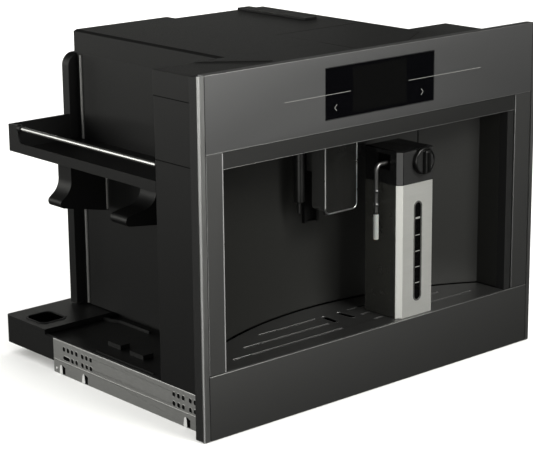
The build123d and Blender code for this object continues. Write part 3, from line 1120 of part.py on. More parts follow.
# The tongue slides on the body's floor and carries the grounds container. It joins the basin's back wall.
with BuildPart() as tray_tongue:
    across = (BREW_X - GROUNDS_HALF - 2, BREW_X + GROUNDS_HALF + 2)
    block(across, TONGUE_Y, (FLOOR_TOP + FIT, TONGUE_TOP))
    with BuildSketch(Plane.XY.offset(FLOOR_TOP)) as behind_basin:
        with Locations((NICHE_X, FRONT + NICHE_Y)):
            Circle(BASIN_R)
    extrude(to_extrude=behind_basin.sketch, amount=TONGUE_TOP - FLOOR_TOP, mode=Mode.SUBTRACT)
save(tray_tongue, "tray_tongue")

DRAIN_W = 3.0
DRAIN_ROWS = ((31.0, 189.0, 217.0), (57.0, 150.0, 178.0), (83.0, 100.0, 129.0))
DRAIN_INNER = 29.0
WIDE_DRAIN = (31.0, 8.0)
WIDE_DRAINS = ((-16.0, -4.0), (13.0, 4.0))
WIDE_DRAIN_Y = 69.5

with BuildPart() as tray_cover:
    niche_plate(COVER_X, FASCIA_GAP, TRAY_EDGE_R, (BASIN_RIM, TRAY_TOP))
    with BuildSketch(Plane.XY.offset(TRAY_TOP)):
        for row_y, left_end, right_end in DRAIN_ROWS:
            for first, last in ((-left_end, -DRAIN_INNER), (DRAIN_INNER, right_end)):
                with Locations((NICHE_X + (first + last) / 2, FRONT + row_y)):
                    SlotOverall(last - first, DRAIN_W)
        for drain_x, lean in WIDE_DRAINS:
            with Locations((NICHE_X + drain_x, FRONT + WIDE_DRAIN_Y)):
                SlotOverall(*WIDE_DRAIN, rotation=90 + lean)
    extrude(amount=-PLATE_T, mode=Mode.SUBTRACT)
save(tray_cover, "tray_cover")

GROUNDS_TOP = TRAY_TOP - 3.0

with BuildPart() as grounds_container:
    block((BREW_X - GROUNDS_HALF, BREW_X + GROUNDS_HALF), GROUNDS_Y, (TONGUE_TOP, GROUNDS_TOP))
    fillet(grounds_container.edges().filter_by(Axis.Z), 10)
    offset(amount=-2, openings=grounds_container.faces().sort_by(Axis.Z)[-1])
save(grounds_container, "grounds_container")
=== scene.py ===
import math

import bmesh
import bpy
import numpy as np
from mathutils import Matrix, Vector


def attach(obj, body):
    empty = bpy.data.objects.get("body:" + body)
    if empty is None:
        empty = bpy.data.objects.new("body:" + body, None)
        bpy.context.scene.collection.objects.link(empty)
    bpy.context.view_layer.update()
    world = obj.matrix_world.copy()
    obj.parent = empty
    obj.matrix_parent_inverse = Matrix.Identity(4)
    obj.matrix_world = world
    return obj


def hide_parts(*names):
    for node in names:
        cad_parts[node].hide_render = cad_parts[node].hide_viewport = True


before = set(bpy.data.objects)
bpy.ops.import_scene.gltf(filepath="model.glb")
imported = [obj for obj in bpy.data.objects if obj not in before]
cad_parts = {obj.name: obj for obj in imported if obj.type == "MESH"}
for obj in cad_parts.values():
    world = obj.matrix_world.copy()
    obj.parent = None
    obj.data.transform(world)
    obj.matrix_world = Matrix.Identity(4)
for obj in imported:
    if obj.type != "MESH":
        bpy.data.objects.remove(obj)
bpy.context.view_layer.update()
scene = bpy.context.scene

# ---- telescopic rails
# Two rails screwed to the cabinet's sides, a middle member in each, and the machine's own member
# inside that. They are cold-rolled channels of galvanised steel: punched holes with a rolled rim,
# a folded step along the web, and small tabs pushed out of the lower edge.

MM = 0.001
DEPTH_ZERO = -227.0  # Y of the fascia's front face, from which every depth is counted back
RIGHT, BACK, UP = (1, 0, 0), (0, 1, 0), (0, 0, 1)
MIX_COLOURS = (6, 7)  # the Mix node's two colour inputs
MIX_RESULT = 2  # and its colour output
NOISE_MIDDLE = (0.3, 0.7)  # most of the noise lies between these


def linear(colour):
    """sRGB hex to linear light: a channel c becomes ((c + 0.055) / 1.055) ** 2.4, or c / 12.92
    near black."""
    channels = [int(colour[i:i + 2], 16) / 255 for i in (1, 3, 5)]
    return [c / 12.92 if c <= 0.04045 else ((c + 0.055) / 1.055) ** 2.4
            for c in channels] + [1.0]


def add(material, kind, settings=None, inputs=None):
    """Adds one shader node. An input is a number, a colour or another node's output to link."""
    tree = material.node_tree
    node = tree.nodes.new(kind)
    for name, value in (settings or {}).items():
        setattr(node, name, value)
    for name, value in (inputs or {}).items():
        if isinstance(value, bpy.types.NodeSocket):
            tree.links.new(value, node.inputs[name])
        else:
            node.inputs[name].default_value = value
    return node


def surface(name, slot, colour, roughness, spacing, depth, stretch=(1, 1, 1), **sockets):
    """A new material with one Principled shader, for one of the record's slots. Noise on Object
    coordinates, with grains spacing mm wide, times stretch on each axis, raises the surface by
    depth mm. Where colour or roughness is a pair, the same noise runs between its two."""
    material = bpy.data.materials.new(name)
    material.use_nodes = True
    material["slot"] = slot
    tree = material.node_tree
    shader = tree.nodes["Principled BSDF"]
    for socket, value in sockets.items():
        shader.inputs[socket.replace("_", " ")].default_value = value
    place = add(material, "ShaderNodeTexCoord")
    scaled = add(material, "ShaderNodeMapping", inputs={
        "Vector": place.outputs["Object"], "Scale": [1 / (spacing * MM * s) for s in stretch]})
    noise = add(material, "ShaderNodeTexNoise", inputs={
        "Vector": scaled.outputs["Vector"], "Scale": 1.0, "Detail": 3.0, "Roughness": 0.6})
    bump = add(material, "ShaderNodeBump", inputs={
        "Height": noise.outputs["Fac"], "Distance": depth * MM, "Strength": 1.0})
    tree.links.new(bump.outputs["Normal"], shader.inputs["Normal"])
    if isinstance(colour, str):
        shader.inputs["Base Color"].default_value = linear(colour)
    else:
        blend = add(material, "ShaderNodeMix", {"data_type": "RGBA"},
                    {"Factor": noise.outputs["Fac"]})
        for socket, shade in zip(MIX_COLOURS, colour):
            blend.inputs[socket].default_value = linear(shade)
        tree.links.new(blend.outputs[MIX_RESULT], shader.inputs["Base Color"])
    if isinstance(roughness, float):
        shader.inputs["Roughness"].default_value = roughness
    else:
        spread = add(material, "ShaderNodeMapRange", inputs={
            "Value": noise.outputs["Fac"], "From Min": NOISE_MIDDLE[0],
            "From Max": NOISE_MIDDLE[1], "To Min": roughness[0], "To Max": roughness[1]})
        tree.links.new(spread.outputs["Result"], shader.inputs["Roughness"])
    return material


ROUND_BELOW = 30  # degrees between the faces of a CAD node that is shaded round
EDGE_ABOVE = 35  # degrees over which an edge is rounded off
SHARP_ABOVE = 38  # degrees over which a new piece's edge stays sharp


def round_shading():
    """Geometry nodes that join a mesh's loose triangles and shade it round, save where faces
    meet at over ROUND_BELOW degrees."""
    tree = bpy.data.node_groups.new("round shading", "GeometryNodeTree")
    tree.is_modifier = True
    for way in ("INPUT", "OUTPUT"):
        tree.interface.new_socket("Geometry", in_out=way, socket_type="NodeSocketGeometry")
    start = tree.nodes.new("NodeGroupInput")
    joined = tree.nodes.new("GeometryNodeMergeByDistance")
    joined.inputs["Distance"].default_value = 0.01 * MM
    smooth = tree.nodes.new("GeometryNodeSetShadeSmooth")
    angle = tree.nodes.new("GeometryNodeInputMeshEdgeAngle")
    steep = tree.nodes.new("FunctionNodeCompare")
    steep.operation = "GREATER_THAN"
    steep.inputs["B"].default_value = math.radians(ROUND_BELOW)
    sharp = tree.nodes.new("GeometryNodeSetShadeSmooth")
    sharp.domain = "EDGE"
    sharp.inputs["Shade Smooth"].default_value = False
    end = tree.nodes.new("NodeGroupOutput")
    for source, target in ((start.outputs[0], joined.inputs[0]),
                           (joined.outputs[0], smooth.inputs["Geometry"]),
                           (smooth.outputs[0], sharp.inputs["Geometry"]),
                           (sharp.outputs[0], end.inputs[0]),
                           (angle.outputs["Unsigned Angle"], steep.inputs["A"]),
                           (steep.outputs["Result"], sharp.inputs["Selection"])):
        tree.links.new(source, target)
    return tree


ROUND = round_shading()


def soften(thing, width):
    """Rounds a thing's edges by width mm, where faces meet at over EDGE_ABOVE degrees."""
    bevel = thing.modifiers.new("edge", "BEVEL")
    bevel.width = width * MM
    bevel.segments = 2
    bevel.limit_method = "ANGLE"
    bevel.angle_limit = math.radians(EDGE_ABOVE)
    bevel.harden_normals = True


def dress(material, *nodes, edge=0.4):
    """Gives CAD nodes a material, and rounds their sharp edges by edge mm to catch the light."""
    for name in nodes:
        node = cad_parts[name]
        node.data.materials.clear()
        node.data.materials.append(material)
        node.modifiers.new("round shading", "NODES").node_group = ROUND
        if edge:
            soften(node, edge)


def points(across, depth, up):
    """Places in mm from three arrays that broadcast together, stacked into one array whose last
    axis is x, y, z."""
    return np.stack(np.broadcast_arrays(across, depth, up), axis=-1).astype(float)


def mesh_of(name, corners, faces):
    """A mesh from places in mm, with depths moved to the frame's Y, and rows of four corners."""
    mesh = bpy.data.meshes.new(name)
    mesh.from_pydata(((corners + (0, DEPTH_ZERO, 0)) * MM).tolist(), [], faces.tolist())
    return mesh


def fitted(name, mesh, material, body, stands_for):
    """Puts a mesh into the scene, shaded round, on the body that carries it, and in place of the
    CAD nodes that it stands for."""
    mesh.polygons.foreach_set("use_smooth", [True] * len(mesh.polygons))
    mesh.materials.append(material)
    made = bpy.data.objects.new(name, mesh)
    scene.collection.objects.link(made)
    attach(made, body)
    if stands_for:
        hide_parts(*stands_for)
    return made


def piece(name, material, body, grids, stands_for=()):
    """One piece from grids of places, each (rows, columns, 3). Four neighbours make a face and
    columns join round. The end rows close on their own middle, unless they are the same row,
    which makes a ring. Faces turn outwards."""
    corners, faces, count = [], [], 0
    for grid in grids:
        if not np.allclose(grid[0], grid[-1]):
            ends = np.repeat(grid[[0, -1]].mean(axis=1, keepdims=True), grid.shape[1], axis=1)
            grid = np.concatenate([ends[:1], grid, ends[1:]])
        rows, columns = grid.shape[:2]
        i, j = np.meshgrid(np.arange(rows - 1), np.arange(columns), indexing="ij")
        beside = (j + 1) % columns
        square = np.stack([i * columns + j, (i + 1) * columns + j, (i + 1) * columns + beside,
                           i * columns + beside], -1)
        corners.append(grid.reshape(-1, 3))
        faces.append(square.reshape(-1, 4) + count)
        count += rows * columns
    mesh = mesh_of(name, np.concatenate(corners), np.concatenate(faces))
    shell = bmesh.new()
    shell.from_mesh(mesh)
    bmesh.ops.remove_doubles(shell, verts=shell.verts, dist=1e-7)
    bmesh.ops.recalc_face_normals(shell, faces=shell.faces)
    shell.to_mesh(mesh)
    shell.free()
    made = fitted(name, mesh, material, body, stands_for)
    mesh.set_sharp_from_angle(angle=math.radians(SHARP_ABOVE))
    made.modifiers.new("flat faces", "WEIGHTED_NORMAL").keep_sharp = True


def carried(path, radius, upright=UP, flat=1.0, steps=10):
    """A round or flattened bead along a path: each ring is path + radius * (cos t * side +
    flat * sin t * other), where side is square to the path and to upright. The radius may change
    from point to point."""
    path = np.asarray(path, float)
    if np.allclose(path[0], path[-1]):
        ahead = np.roll(path[:-1], -1, 0) - np.roll(path[:-1], 1, 0)
        ahead = np.concatenate([ahead, ahead[:1]])
    else:
        ahead = np.gradient(path, axis=0)
    ahead /= np.linalg.norm(ahead, axis=1, keepdims=True)
    side = np.cross(ahead, upright)
    side /= np.linalg.norm(side, axis=1, keepdims=True)
    other = np.cross(side, ahead)
    turn = np.arange(steps) / steps * 2 * np.pi
    size = np.broadcast_to(radius, len(path))[:, None, None]
    ring = np.cos(turn)[:, None] * side[:, None] + flat * np.sin(turn)[:, None] * other[:, None]
    return path[:, None] + size * ring


def beads(folds, upright=UP):
    """Round beads on straight folds, each fold given as across, depth, up and radius."""
    return [carried(points(*place), radius, upright, steps=8) for *place, radius in folds]


def rounded(width, height, radius, middle=(0, 0), lean=0.0, steps=6):
    """A rounded rectangle, counter-clockwise: four quarter circles of the radius about the inner
    corners, then turned by lean degrees."""
    turn = (np.arange(4)[:, None] * 90 + np.linspace(0, 90, steps)[None]) * np.pi / 180
    inner = np.array([(1, 1), (-1, 1), (-1, -1), (1, -1)]) * (width / 2 - radius,
                                                              height / 2 - radius)
    outline = inner[:, None] + radius * np.stack([np.cos(turn), np.sin(turn)], -1)
    c, s = math.cos(math.radians(lean)), math.sin(math.radians(lean))
    return outline.reshape(-1, 2) @ np.array([(c, s), (-s, c)]) + middle


def closed(outline):
    """An outline whose first point is repeated at its end, so that a bead on it is a ring."""
    return np.concatenate([outline, outline[:1]])


def facing(side, outline, height):
    """Places of an outline that faces front (x, z), up (x, depth) or sideways (depth, z), at a
    height along its axis."""
    a, b = outline[..., 0], outline[..., 1]
    if side == "front":
        return points(a, height, b)
    return points(a, b, height) if side == "up" else points(height, a, b)


def slab(side, outline, low, high, edge=0.4, steps=4):
    """A plate with rounded edges: the outline, moved in by edge * (1 - sin t), at heights that
    run in by edge * (1 - cos t) from each face, for t from 0 to 90 degrees."""
    along = np.roll(outline, -1, 0) - np.roll(outline, 1, 0)
    along /= np.linalg.norm(along, axis=1, keepdims=True)
    inwards = np.stack([-along[:, 1], along[:, 0]], 1)
    t = np.linspace(0, np.pi / 2, steps)
    move = edge * np.concatenate([1 - np.sin(t), 1 - np.sin(t[::-1])])
    height = np.concatenate([low + edge * (1 - np.cos(t)), high - edge * (1 - np.cos(t[::-1]))])
    return facing(side, outline[None] + move[:, None, None] * inwards[None], height[:, None])


def turned(profile, foot, axis, steps=40):
    """A turned piece: radius r at distance d along an axis, as foot + d * axis + r * (cos t *
    side + sin t * other)."""
    profile = np.asarray(profile, float)
    axis = np.asarray(axis, float)
    side = np.cross(axis, UP if abs(axis[2]) < 0.9 else RIGHT)
    other = np.cross(axis, side)
    turn = np.arange(steps) / steps * 2 * np.pi
    ring = np.cos(turn)[:, None] * side + np.sin(turn)[:, None] * other
    return np.asarray(foot, float) + profile[:, None, 1:] * axis + profile[:, None, :1] * ring[None]


# Galvanised steel, cold rolled: a dull silver with long drawn streaks.
galvanised = surface("galvanised steel, cold rolled", "galvanised_steel", ("#B4B4B3", "#C8C8C7"),
                     (0.46, 0.54), 1.1, 0.006, (1, 6, 1), Metallic=1.0)
dress(galvanised, "left_cabinet_rail", "right_cabinet_rail", "left_machine_rail",
      "right_machine_rail", edge=0.3)
# Steel painted near black: painted shade on the inner member, which lies in the rail's shade, so
# the openings in front of it look black.
shade_black_steel = surface("steel painted black for shade", "galvanised_steel", "#040404", (0.4, 0.6), 2.0, 0.02,
                  Specular_IOR_Level=0.08)
dress(shade_black_steel, "left_rail_member", "right_rail_member", edge=0.3)
# Tabs and the round button painted brighter than the rolled face: a painted highlight for the light
# that the bent tabs catch.
lit_tab_zinc = surface("galvanised steel, tab painted lit", "galvanised_steel", "#F0F0EE", (0.34, 0.46), 0.8,
                     0.006, Metallic=0.6)

RAIL_FACE = 278.5
RAIL_RUN = (20.0, 347.7)
RAIL_TOP = 47.2
STEP_Z = 19.0
HOLE_DEPTHS = (322.5, 313.0, 303.5, 294.0, 280.5, 271.0, 261.5, 84.5, 75.0, 65.5, 51.5, 42.0)
# The upper row has all the holes, and the lower row starts with the third.
HOLES = [(depth, z) for z, first in ((37.7, 0), (25.3, 2)) for depth in HOLE_DEPTHS[first:]]
SLOT_MIDDLE = (317.0, 25.3)
# Width, height and corner radius of each opening, and of the line that its rolled rim follows.
HOLE, HOLE_RIM = (5.0, 6.6, 2.49), (5.4, 7.0, 2.69)
SLOT, SLOT_RIM = (15.1, 5.5, 2.74), (15.4, 5.8, 2.89)
OPENING_FACES = (-0.45, 0.3)  # a dark opening's two faces, counted from the rail's face
# A tab's outline and its slot's, as depth and height from the tab's foot: it widens downwards.
TABS = (328.6, 276.9, 59.8)
TAB = np.array([(3.6, 1.0), (4.4, 2.4), (2.6, 12.6), (1.0, 13.4), (-0.4, 12.4), (-1.6, 2.2),
                (-0.4, 1.0)])[::-1]
TAB_SLOT = np.array([(-1.4, 1.2), (-7.0, 1.2), (-7.4, 11.0), (-0.2, 14.0)])[::-1]
BUTTON = [(0.0, -0.9), (1.4, -0.8), (1.9, 0.0), (1.9, 0.6), (0.0, 0.6)]
BUTTON_PLACE = (341.2, 6.4)

hole_rim = closed(rounded(*HOLE_RIM))
slot_rim = closed(rounded(*SLOT_RIM, SLOT_MIDDLE))
step_outline = rounded(RAIL_RUN[1] - RAIL_RUN[0], 1.5, 0.7, (sum(RAIL_RUN) / 2, STEP_Z))
run = np.linspace(*RAIL_RUN, 40)
for side, hand in ((-1, "left"), (1, "right")):
    face = side * RAIL_FACE
    rims = [carried(facing("side", hole_rim + hole, face), 0.35, RIGHT, steps=8)
            for hole in HOLES]
    rims.append(carried(facing("side", slot_rim, face), 0.42, RIGHT, steps=8))
    piece(hand + "_rail_hole_rims", galvanised, "cabinet_base", rims)
    # Painted shade: black slabs fill the holes, the slot and the notch beside each tab, where only
    # the rail's shaded inside shows.
    openings = [rounded(*HOLE, hole) for hole in HOLES] + [rounded(*SLOT, SLOT_MIDDLE)]
    dark = [slab("side", TAB_SLOT + (tab, 0.0), face - 0.3, face + 0.6, 0.15) for tab in TABS]
    dark += [slab("side", opening, face + OPENING_FACES[0], face + OPENING_FACES[1], 0.1)
             for opening in openings]
    piece(hand + "_rail_shade_openings", shade_black_steel, "cabinet_base", dark)
    step = slab("side", step_outline, face - 0.5, face + 0.5, 0.4)
    top_roll = carried(points(face - side * 0.9, run, RAIL_TOP), 0.9)
    piece(hand + "_rail_step", galvanised, "cabinet_base", [step, top_roll])
    tabs = [slab("side", TAB + (tab, 0.0), face - 1.1, face + 1.1, 0.6) for tab in TABS]
    tabs.append(turned(BUTTON, (face, *BUTTON_PLACE), (-side, 0, 0), 16))
    piece(hand + "_rail_tabs", lit_tab_zinc, "cabinet_base", tabs)

# ---- base tray
# The tray between the rails keeps drips off the cabinet's floor and leads cables through its rear
# corners. It is one moulding of black ABS with an eroded grain, held by the rails' flanges.

# Black ABS, eroded grain: a matt black that turns grey where it is lit along its face.
moulded = surface("black ABS, eroded grain", "moulded_black", "#080808", (0.42, 0.6), 0.9, 0.02,
                  Specular_IOR_Level=0.35)
dress(moulded, "base_tray", edge=0.8)

CABLE_HOLE = (245.5, 411.5)
CABLE_HOLE_EDGE = (43.6, 44.6, 10.5)  # across, in depth, and the corners' radius
TRAY_FLOOR_TOP = 54.9
STRIP = (274.6, 243.0)  # the rubber strip along the rail: its middle across and in depth
# Moulded EPDM rubber: a soft dull ring round each cable hole.
grommet = surface("black EPDM grommet", "soft_black", "#111112", (0.55, 0.7), 0.8, 0.02)
for side, hand in ((-1, "left"), (1, "right")):
    edge_path = closed(rounded(*CABLE_HOLE_EDGE, (side * CABLE_HOLE[0], CABLE_HOLE[1]), steps=10))
    ring = carried(facing("up", edge_path, TRAY_FLOOR_TOP), 1.9, flat=0.4, steps=12)
    strip = slab("up", rounded(3.4, 250.0, 0.8, (side * STRIP[0], STRIP[1])), 47.8, 48.6, 0.3)
    piece(hand + "_cable_grommet", grommet, "cabinet_base", [ring, strip])

# ---- works inside the body
# Brew unit, grinder, boiler, pump and boards stand in the body and are seen when it is rolled
# out or opened. Moulded carriers hold a cast aluminium boiler and pump body, and two lacquered
# circuit boards. The bean hopper and the water tank are tinted plastic.

dress(moulded, "brew_unit", "brew_piston", "grinder", "display_module", edge=0.6)

# Cast aluminium, bead blasted: pale grey and slightly rough, with soft highlights.
cast = surface("cast aluminium, blasted", "cast_aluminium", ("#97989A", "#B2B3B5"), (0.42, 0.58),
               1.0, 0.06, Metallic=1.0)
dress(cast, "boiler", "pump", edge=0.8)

# Glass fibre board with solder lacquer: deep green, slightly glossy, the weave just showing.
board = surface("lacquered circuit board", "circuit_board", ("#174A2D", "#22603C"), (0.28, 0.45),
                1.6, 0.03, (1, 1, 3))
dress(board, "control_board", "power_board", edge=0.3)

# Tinted SAN, polished in the mould: smoky and clear, with hard small highlights.
smoke = surface("tinted SAN, polished", "clear_smoke", "#26262A", (0.08, 0.16), 20, 0.01,
                Transmission_Weight=0.75, IOR=1.57)
dress(smoke, "bean_hopper", "water_tank", edge=0.4)

# ---- body sheets
# Floor and side walls of the body: folded steel with a black powder coat, riveted to the moulded
# housing. The side sheets are rolled over at the back, and the right one has visible screws.

# Black powder coat, melted on: a soft black with the fine orange peel of the powder.
coated = surface("powder coated steel", "body_sheet", "#0B0B0B", (0.4, 0.56), 1.1, 0.02,
                 Specular_IOR_Level=0.28)
dress(coated, "body_floor", "left_body_wall", "right_body_wall", edge=0.5)

# Blackened screw steel: dark, with a slight sheen on the domed head.
screw_steel = surface("blackened screw steel", "body_sheet", "#2E2F31", (0.3, 0.46), 0.6, 0.01,
                      Metallic=1.0)
# A pan head's profile: the dome has a radius of 3.2 mm, and the recess in it one of 1.3 mm.
HEAD = [(0.0, 0.4), (1.1, 0.4), (1.3, 1.5), (2.2, 1.35), (2.9, 0.9), (3.2, 0.2), (3.2, -0.4)]


def screws(name, body, places, axis):
    """Pan-head screws at places, whose heads stand out along the axis."""
    piece(name, screw_steel, body, [turned(HEAD, place, axis, 20) for place in places])


RIGHT_WALL = 164.5
ROLL = (165.3, 419.5)  # the rolled edge's middle across and in depth
# Powder coat painted pale on the roll: a painted highlight, an upright line where the rolled edge
# catches the light.
roll_highlight = surface("powder coat, painted highlight on the roll", "body_sheet", "#8C8C8A", (0.3, 0.4), 0.8,
                      0.01, Metallic=0.8)
roll_rise = np.linspace(58.0, 413.0, 60)
piece("body_wall_rolls", roll_highlight, "machine",
      [carried(points(side * ROLL[0], ROLL[1], roll_rise), 2.2, BACK, steps=12)
       for side in (-1, 1)])
screws("body_wall_screws", "machine", [(RIGHT_WALL, depth, z) for depth in (130, 270, 400)
                                       for z in (190, 402)], RIGHT)

# ---- housing behind the fascia
# A shallow three-part housing closes the fascia's back and carries the side walls, the top cover
# and the bean lid. The parts are injection-moulded charcoal ABS, snapped together along two shut
# lines and screwed to the body.

# Charcoal ABS, fine grain: a cool dark grey on lit faces, almost black in front light.
housing = surface("charcoal ABS, fine grain", "housing_plastic", "#0C0C0C", (0.4, 0.56), 0.8, 0.018,
                  Specular_IOR_Level=0.25)
dress(housing, "niche_housing", "panel_housing", "housing_cap", "top_cover", "bean_lid", edge=0.7)

CAP_TOP = 447.5
# The outline of a low raised field on the cap's left, as across and depth.
WING = np.array([(-141.9, 53.5), (-136.0, 53.5), (-136.0, 111.0), (-213.0, 111.0)])
piece("cap_wing", housing, "machine", [slab("up", WING, CAP_TOP - 0.6, CAP_TOP + 0.7, 0.6)])

HOUSING_SIDE = 278.5
SHUT_LINES_Z = (335.8, 415.6)
SHUT_LINE = (93.0, 1.1, 0.3)  # its length, width and corner radius
# The unlit depth of a gap: a thin black line between two mouldings.
shadow = surface("unlit depth of a shut line", "housing_plastic", "#020202", (0.75, 0.85), 1.0,
                 0.01, Specular_IOR_Level=0.1)
piece("housing_shut_lines", shadow, "machine",
      [slab("side", rounded(*SHUT_LINE, (64.8, z)), side * HOUSING_SIDE - 0.25,
            side * HOUSING_SIDE + 0.12, 0.1) for side in (-1, 1) for z in SHUT_LINES_Z])

# ---- rear cover, inlet and switch
# The rear cover hides the wiring and lets warm air out through two groups of slots. It is
# charcoal ABS, screwed on at its corners. The mains inlet is a plain black socket, and the main
# switch beside it is a gloss black rocker.

VENT_COLUMNS = (-70.0, 70.0)
VENT_ROWS = [286.5 + 12.0 * row for row in range(8)]
dress(housing, "rear_cover", edge=0.6)
dress(moulded, "mains_inlet", edge=0.6)
screws("rear_cover_screws", "machine",
       [(x, 447.0, z) for x in (-160, 160) for z in (72, 398)], BACK)
fin = rounded(92.0, 1.2, 0.55)
piece("vent_fins", housing, "machine", [slab("front", fin + (x, z), 441.0, 446.0, 0.4)
                                        for x in VENT_COLUMNS for z in VENT_ROWS])

# Black ABS, polished in the mould: deep black, mirror-like, with faint waves.
gloss = surface("black ABS, mirror gloss", "gloss_black", "#050505", (0.08, 0.13), 40, 0.01,
                IOR=1.5)
dress(gloss, "main_switch", edge=0.3)

# ---- side shelf, bar and hooks
# A tray for cables and hoses on the left of the body, a bright bar along its rim, and two hooks
# under it, all moulded charcoal ABS. The bar is drawn steel, polished and plated, pressed into a
# black socket at the rear. The water tank's shelf on the right is moulded as the left one is.

dress(housing, "side_shelf", "tank_shelf", edge=1.4)
dress(housing, "cable_hooks", edge=2.4)

# Charcoal ABS painted pale on the rear hook's round inner edge: a painted highlight where it
# catches the light.
hook_highlight = surface("charcoal ABS, painted highlight on the hook", "housing_plastic", "#565654", (0.3, 0.4), 0.8,
                      0.01)
hook_edge = points(-179.8, 349.8, np.linspace(211.0, 292.5, 20))
piece("hook_round", hook_highlight, "machine", [carried(hook_edge, 2.6, BACK)])

# Drawn steel, polished and plated: bright, with a narrow highlight along its whole length.
plated = surface("plated steel, polished", "bright_bar", ("#CBCBCA", "#D9D9D8"), (0.38, 0.46), 0.8,
                 0.004, (1, 60, 1), Metallic=1.0)
BAR = (-275.5, 0, 328.0)
BAR_PROFILE = [(0.0, 112.0), (2.4, 112.0), (3.0, 112.6), (3.0, 404.0), (3.0, 411.4), (2.6, 412.0),
               (0.0, 412.0)]
SOCKET_PROFILE = [(3.1, 404.0), (4.4, 404.0), (4.9, 404.6), (4.9, 411.5), (3.1, 411.5)]
piece("shelf_bar", plated, "machine", [turned(BAR_PROFILE, BAR, BACK)], ["shelf_rod"])
piece("bar_socket", moulded, "machine", [turned(SOCKET_PROFILE, BAR, BACK)])

# ---- fascia
# A frame of textured black plastic carries the steel sheets: the control panel, two pillars and
# the band above the niche. The sheets are dark stainless steel, blasted fine and lacquered, and
# hang on folded edges. Anodised aluminium trims close both sides.

# Glass-filled black PBT with a coarse etched texture: it scatters light to an even dark grey.
textured = surface("black PBT, coarse etched", "textured_black", ("#020202", "#1E1E1E"),
                   (0.46, 0.75), 1.3, 0.14, Specular_IOR_Level=0.3)
dress(textured, "front_frame", edge=0.5)

# Dark stainless, fine blasted and lacquered: a satin grey that fades slowly across the sheet.
# The blasting is drawn 0.9 mm wide, coarser than real, so that it shows.
panel_steel = surface("dark stainless, blasted satin", "panel_steel", ("#88888A", "#909091"),
                      (0.45, 0.52), 0.9, 0.006, Metallic=1.0)
dress(panel_steel, "control_panel", edge=0)
# The same sheet around the niche and on the lower panel, painted a little darker: painted shade for
# the duller light that it gets.
surround = surface("dark stainless, satin sheet", "surround_steel", ("#787878", "#828282"),
                   (0.45, 0.52), 0.9, 0.006, Metallic=1.0)
# The band lies deeper than the panel above it and is painted darker still: painted shade, for the
# niche's shade that it faces down into.
band = surface("dark stainless, band painted in shade", "surround_steel", ("#535353", "#5B5B5B"),
               (0.46, 0.54), 0.9, 0.006, Metallic=1.0)
# Natural anodised aluminium, drawn: pale and finely lined along the trim.
trim = surface("anodised aluminium, drawn", "trim_steel", ("#C8C8C8", "#D8D8D8"), (0.34, 0.42), 0.7,
               0.006, (1, 1, 60), Metallic=1.0)
dress(trim, "left_side_trim", "right_side_trim", edge=0.5)
# Folded stainless painted bright: painted highlights, thin bright lines along the sheets' edges,
# the drawer's lip and the drain rims.
fold_highlight = surface("stainless fold, painted highlight", "panel_steel", "#B8B8B8", (0.38, 0.46), 0.6, 0.004,
                      Metallic=1.0)
# Painted highlight for the folds that face the key light, on the left of each sheet: almost white
# lines. The spout rim's lit side and the drain slots' far edges take it too.
key_light_highlight = surface("stainless fold, painted key-light highlight", "panel_steel", "#B4B4B4", (0.46, 0.54), 0.6,
                    0.004, Metallic=0.7)

SHEET_HALF = 288.5
PANEL_FOOT = 359.8
PANEL_TOP = 453.8
NICHE_TOP = 338.0
PILLAR_LEFT = -261.7
PILLAR_RIGHT = 257.5
TRAY_TOP = 84.0
PILLAR_Z = (TRAY_TOP + 0.3, PANEL_FOOT - 0.5)
SHEET_DEPTHS = (1.0, 3.0)
BAND_DEPTHS = (2.0, 3.0)
RETURN_DEPTHS = (2.0, 17.5)  # the left pillar's edge that is folded back into the niche
FOLD = 0.6  # the folds' usual radius
TRIM_EDGE = -297.9


def sheet_plate(left, right, foot, top, depths):
    """A folded sheet seen as a thin plate with 0.7 mm rolled edges, between limits across, up
    and in depth."""
    outline = rounded(right - left, top - foot, 0.8, ((left + right) / 2, (foot + top) / 2))
    return slab("front", outline, *depths, 0.7)


piece("pillars", surround, "machine",
      [sheet_plate(-SHEET_HALF, PILLAR_LEFT, *PILLAR_Z, SHEET_DEPTHS),
       sheet_plate(PILLAR_RIGHT, SHEET_HALF, *PILLAR_Z, SHEET_DEPTHS),
       sheet_plate(PILLAR_LEFT - 1.5, PILLAR_LEFT, PILLAR_Z[0], NICHE_TOP, RETURN_DEPTHS)],
      ["niche_surround"])
piece("niche_band", band, "machine",
      [sheet_plate(PILLAR_LEFT, PILLAR_RIGHT, NICHE_TOP, PILLAR_Z[1], BAND_DEPTHS)])

across = np.linspace(-SHEET_HALF + 0.4, SHEET_HALF - 0.4, 60)
opening = np.linspace(PILLAR_LEFT, PILLAR_RIGHT, 60)
pillar_rise = np.linspace(TRAY_TOP + 1.0, PANEL_FOOT - 1.4, 40)
panel_rise = np.linspace(PANEL_FOOT + 1.4, PANEL_TOP, 30)
trim_rise = np.linspace(2.0, 454.0, 60)
level_folds = ((across, 0.5, PANEL_FOOT + 0.4, FOLD), (across, 0.5, PANEL_TOP + 0.6, 0.55),
               (opening, 2.4, NICHE_TOP + 0.3, 0.45))
right_folds = ((PILLAR_RIGHT + 0.6, 1.2, pillar_rise, 0.7),
               (SHEET_HALF - 0.5, 0.7, panel_rise, FOLD))
left_folds = ((PILLAR_LEFT - 0.6, 1.2, pillar_rise, 0.8),
              (-SHEET_HALF + 0.6, 1.2, pillar_rise, 0.7),
              (-SHEET_HALF + 0.5, 0.7, panel_rise, FOLD),
              (TRIM_EDGE, 0.6, trim_rise, FOLD))
piece("sheet_folds", fold_highlight, "machine", beads(level_folds) + beads(right_folds, BACK))
piece("left_folds", key_light_highlight, "machine", beads(left_folds, BACK))
